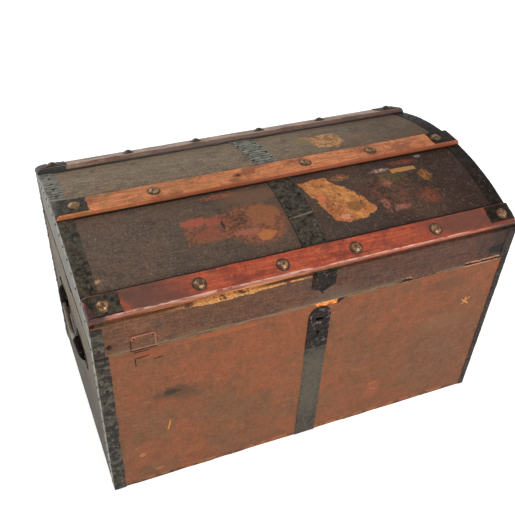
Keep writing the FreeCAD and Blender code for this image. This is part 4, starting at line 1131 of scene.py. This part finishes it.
def make_corner_iron(name, body, x_sign, y_sign, z1, seed, end_top=None):
    """Iron angle on a vertical corner up to z1; end_top(y) may lower the top edge of its end leg."""
    low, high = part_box(name)
    front_leg, end_leg, z0 = high[0] - low[0] - IRON, high[1] - low[1] - IRON, low[2]
    radius = 0.002
    path = [(front_leg - i * (front_leg - radius) / 5, 0.0) for i in range(6)]
    path += [(radius * (1 - math.sin(t)), radius * (1 - math.cos(t))) for t in np.linspace(0.4, 1.2, 3)]
    path += [(0.0, radius + i * (end_leg - radius) / 5) for i in range(6)]
    inset, depth = np.array(path).T
    tops = np.full(len(path), z1)
    if end_top is not None:
        tops = np.where(depth > radius, np.minimum(z1, end_top(HALF_DEPTH + IRON - depth)), z1)
    share = np.linspace(0, 1, max(12, int((z1 - z0) / 0.004)))[:, None]
    line = grid(0, 0, share * (z1 - z0))
    inset = inset + 0.0014 * fractal(line, 0.03, seed) * (inset > front_leg - 0.001)
    depth = depth + 0.0014 * fractal(line, 0.03, seed + 1) * (depth > end_leg - 0.001)
    points = grid(x_sign * (HALF_LENGTH + IRON - inset), y_sign * (HALF_DEPTH + IRON - depth),
                  z0 * (1 - share) + tops * share)
    lumps = 0.0005 * fractal(points, 0.011, seed + 2) + 0.0004 * fractal(points, 0.05, seed + 3)
    face = np.array([0.0, y_sign, 0.0])
    side = np.array([x_sign, 0.0, 0.0])
    corner = (face + side) / math.sqrt(2)
    out = np.array([face if q < 1e-6 else side if p < 1e-6 else corner for p, q in path])
    add_piece(name + "_worn", dented(points, out, lumps, -0.0003, 0.0009), body, [name],
              BLACK_IRON if x_sign > 0 else BAND_IRON)


def make_corner_irons():
    fold_radius = DOME_RADIUS + IRON - BAND_FOLD

    def under_fold(y):
        return AXIS_Z + np.sqrt(fold_radius ** 2 - y ** 2)

    for side, x_sign in (("left", -1), ("right", 1)):
        for face, y_sign in (("front", -1), ("back", 1)):
            name = face + "_" + side + "_corner_iron"
            seed = 440 + 20 * x_sign + 5 * y_sign
            make_corner_iron(name, "trunk_body", x_sign, y_sign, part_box(name)[1][2], seed)
            make_corner_iron("lid_" + name, "lid", x_sign, y_sign, LID_BOTTOM + 0.068, seed + 100,
                             under_fold)


def make_lid_center_band():
    low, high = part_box("lid_center_band")
    angles = np.linspace(EAVE_ANGLE - 0.001, -EAVE_ANGLE + 0.001, 150)[:, None]
    arc = angles * DOME_RADIUS
    across = np.linspace(0, 1, 15)
    line = grid(angles * 0.5, 0, 0)
    saw = np.abs(arc / 0.014 % 1.0 - 0.5)
    left = low[0] + 0.0010 * fractal(line, 0.03, 501)
    right = high[0] + 0.0010 * fractal(line, 0.03, 502) - smooth(-0.10, -0.14, angles) * 0.006 * saw
    x = left * (1 - across) + right * across
    points = on_dome(DOME_RADIUS + IRON, angles, x)
    lumps = 0.0004 * fractal(points, 0.012, 503) + 0.0004 * fractal(points, 0.05, 504)
    for place in (-0.185, -0.163, -0.142, -0.118, -0.088, 0.155):
        slant = arc - place - (x - 0.008) * 0.12
        lumps = lumps + 0.0008 * np.exp(-(slant / 0.0016) ** 2)
    add_piece("lid_center_band_worn", dented(points, outward(angles), lumps, -0.0003, 0.0014), "lid",
              ["lid_center_band"], BAND_IRON)


def front_plate(name, node, body, material, lumpy, thickness, seed, columns=16, rows=60,
                bottom=None, top=None, lift=0.0, openings=()):
    """Worn plate for a front node; bottom(x) and top(x) may shape its ends, lumpy is its relief."""
    low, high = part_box(node)
    x = np.linspace(low[0], high[0], columns)
    share = np.linspace(0, 1, rows)[:, None]
    foot = bottom(x) if bottom else low[2]
    head = top(x) if top else high[2]
    z = foot * (1 - share) + head * share
    side = np.abs(np.linspace(-1, 1, columns)) ** 6
    points = grid(x + side * 0.0009 * fractal(grid(0, 0, z), 0.02, seed), -HALF_DEPTH - thickness, z)
    relief = lumpy * (fractal(points, 0.012, seed + 1) + 0.3 * fractal(points, 0.05, seed + 2))
    relief = relief + lift * (0.4 + smooth(LID_BOTTOM + 0.014, LID_BOTTOM, z))
    outer = points - np.clip(relief, -0.3 * thickness, 0.0028)[..., None] * [0, 1, 0]
    inner = points.copy()
    inner[..., 1] = np.where(relief > 0.001, outer[..., 1] + 0.001, -HALF_DEPTH)
    add_piece(name, shell(outer, inner), body, [node], material, openings)


def make_front_irons():
    (x0, _, _), (x1, _, z1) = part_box("lock_plate")
    half = (x1 - x0) / 2

    def round_top(x):
        return z1 - half + np.sqrt(np.maximum(half ** 2 - (x - x0 - half) ** 2, 1e-9))

    def torn(x):
        return np.interp(x, [-0.021, -0.016, -0.006, 0.000, 0.004, 0.009, 0.018, 0.027],
                         [0.434, 0.431, 0.429, 0.421, 0.416, 0.426, 0.431, 0.435])

    def hasp_top(x):
        return LID_BOTTOM + 0.074

    front_plate("front_band_worn", "front_center_band", "trunk_body", BAND_IRON, 0.0003, IRON,
                510, rows=80)
    front_plate("lock_plate_worn", "lock_plate", "trunk_body", LOCK_IRON, 0.0009, 0.0015, 520,
                columns=20, rows=50, top=round_top, openings=(keyhole_outline(), slot_outline()))
    front_plate("hasp_plate_worn", "hasp_plate", "lid", LOCK_IRON, 0.0008, IRON, 530,
                columns=18, rows=26, bottom=torn, top=hasp_top)
    front_plate("lid_tab_worn", "lid_tab_plate", "lid", LID_CANVAS, 0.0003, IRON, 540,
                rows=24, lift=0.0020)


# Handles

def make_handle_cap(side, x_sign, face, y_sign):
    """Nailed plate with a hood over the handle's end; the mouth faces the other cap."""
    node = side + "_handle_cap_" + face
    low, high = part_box(node)
    near, far = sorted((abs(low[1]), abs(high[1])))
    axis_z, half = (low[2] + high[2]) / 2, (high[2] - low[2]) / 2
    out = np.array([x_sign, 0, 0])
    y = np.linspace(near, far, 24)
    share = np.linspace(-1, 1, 14)[:, None]
    taper = half * np.sqrt(np.clip(1 - ((y - near - 0.01) / (far - near - 0.004)).clip(0, 1) ** 6, 0.05, 1))
    flat = grid(x_sign * (HALF_LENGTH + 0.0012), y_sign * y, axis_z + share * taper)
    lumps = np.clip(0.0004 * fractal(flat, 0.012, 600), -0.0004, 0.0006)
    plate = shell(flat + out * lumps[..., None], flat - out * 0.0011)

    mouth, end = near + 0.012, far - 0.014
    radius = 0.0100
    s = np.linspace(0, 1, 26)
    turn = np.linspace(0, math.pi, 17)[:, None]
    narrow = np.sqrt(np.clip(1 - ((s - 0.55) / 0.45).clip(0, 1) ** 2, 0.0004, 1)) * (1 - 0.25 * s)

    def hood(r):
        rise = (r + 0.0025) * narrow
        x = x_sign * (HALF_LENGTH + 0.0010 + rise * np.sin(turn))
        return grid(x, y_sign * (mouth + (end - mouth) * s), axis_z + 1.25 * r * narrow * np.cos(turn))

    shape = merged(plate, shell(hood(radius), hood(radius - 0.0014)))
    add_piece(side + "_" + face + "_hood", shape, "trunk_body", [node], HOOD_IRON)


def make_handle(side):
    """Leather grip: flat and wide in the middle, narrow and round inside the caps."""
    low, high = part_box(side + "_handle")
    cap_low, cap_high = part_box(side + "_handle_cap_front")
    axis_z = (cap_low[2] + cap_high[2]) / 2
    y = np.linspace(-0.082, 0.082, 90)
    sag = (axis_z - low[2] - 0.009) * np.cos(np.clip(y / 0.056, -1, 1) * math.pi / 2) ** 1.5
    line = grid((low[0] + high[0]) / 2, y, axis_z - sag)
    tangent = np.gradient(line, axis=0)
    tangent /= np.linalg.norm(tangent, axis=1)[:, None]
    across = grid(0, -tangent[:, 2], tangent[:, 1])
    middle = smooth(0.062, 0.030, np.abs(y))[:, None]
    turns = np.linspace(0, 2 * math.pi, 24, endpoint=False)

    def squared(wave):
        return np.sign(wave) * np.abs(wave) ** 0.75

    wide = (0.0045 + 0.0044 * middle) * squared(np.cos(turns))
    thick = (0.0042 + 0.0003 * middle) * squared(np.sin(turns))
    rings = line[:, None] + across[:, None] * wide[..., None] + thick[..., None] * [1, 0, 0]
    add_piece(side + "_grip", tube(rings), side + "_handle", [side + "_handle"], LEATHER)


# Assembly

def paint_nodes():
    """Materials for the CAD pieces that stay as they are."""
    boards = ("bottom_board", "front_panel", "back_panel", "left_end_panel", "right_end_panel",
              "lid_front_board", "lid_back_board", "lid_left_end_board", "lid_right_end_board",
              "lid_dome_panel")
    irons = ("body_tacks", "lid_tacks", "lock_rivets", "hasp_rivets", "handle_cap_nails",
             "body_hinge_screws", "lid_hinge_screws", "end_catch_plates", "hinge_pins",
             "left_hinge_body_leaf", "right_hinge_body_leaf", "left_hinge_lid_leaf",
             "right_hinge_lid_leaf", "lock_case", "lock_bolt")
    for material, names in ((BOARD_WOOD, boards), (BLACK_IRON, irons)):
        for name in names:
            repaint(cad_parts[name], material)


make_body_skin()
make_lid_skin()
for end_side, end_sign in (("left", -1), ("right", 1)):
    make_lid_end_skin(end_side, end_sign)
    make_edge_band(end_side, end_sign)
    make_handle(end_side)
    make_handle_cap(end_side, end_sign, "front", -1)
    make_handle_cap(end_side, end_sign, "back", 1)
make_slat("front", 0.0035, 701)
make_slat("center", 0.0025, 711)
make_slat("back", 0.0025, 721)
make_caps()
make_nails()
make_corner_irons()
make_lid_center_band()
make_front_irons()
paint_nodes()


# Stage: floor, light and camera

def make_stage():
    bpy.ops.mesh.primitive_plane_add(size=40.0, location=(0, 0, 0))
    floor = bpy.context.object
    floor.name = "floor"
    p = Paint("floor")
    p.bsdf.inputs["Emission Color"].default_value = (1.0, 1.0, 1.0, 1.0)
    p.bsdf.inputs["Emission Strength"].default_value = 0.60
    p.color = (0.88, 0.88, 0.88)
    floor.data.materials.append(p.done(0.9, specular=0.1))

    world = bpy.data.worlds.new("studio")
    bpy.context.scene.world = world
    world.use_nodes = True
    sky = world.node_tree.nodes["Background"]
    sky.inputs[0].default_value = (1.0, 1.0, 1.0, 1.0)
    sky.inputs[1].default_value = 0.50


def make_light(name, position, target, size, power):
    lamp = bpy.data.lights.new(name, "AREA")
    lamp.shape = "SQUARE"
    lamp.size = size
    lamp.energy = power
    light = bpy.data.objects.new(name, lamp)
    bpy.context.scene.collection.objects.link(light)
    light.location = position
    aim = Vector(target) - Vector(position)
    light.rotation_euler = aim.to_track_quat("-Z", "Y").to_euler()


def make_camera():
    """The view from above the front left corner, with the horizon slightly turned."""
    position = Vector((-0.5237, -1.1171, 1.3200))
    yaw, pitch, roll = 0.4271, 0.7536, -0.0576
    forward = Vector((math.sin(yaw) * math.cos(pitch), math.cos(yaw) * math.cos(pitch), -math.sin(pitch)))
    right = Vector((math.cos(yaw), -math.sin(yaw), 0.0))
    down = forward.cross(right)
    across = right * math.cos(roll) + down * math.sin(roll)
    below = -right * math.sin(roll) + down * math.cos(roll)
    lens = bpy.data.cameras.new("camera")
    lens.sensor_width = 36.0
    lens.lens = 51.24
    lens.shift_y = 0.0975
    camera = bpy.data.objects.new("camera", lens)
    bpy.context.scene.collection.objects.link(camera)
    columns = Matrix((across, -below, -forward)).transposed()
    camera.matrix_world = Matrix.Translation(position) @ columns.to_4x4()
    bpy.context.scene.camera = camera


make_stage()
make_light("front", (0.9, -2.9, 1.7), (0, 0, 0.25), 1.2, 50)
make_light("window", (-1.8, 2.4, 2.2), (0, 0, 0.3), 2.4, 40)
make_camera()
bpy.context.scene.view_settings.view_transform = "Standard"
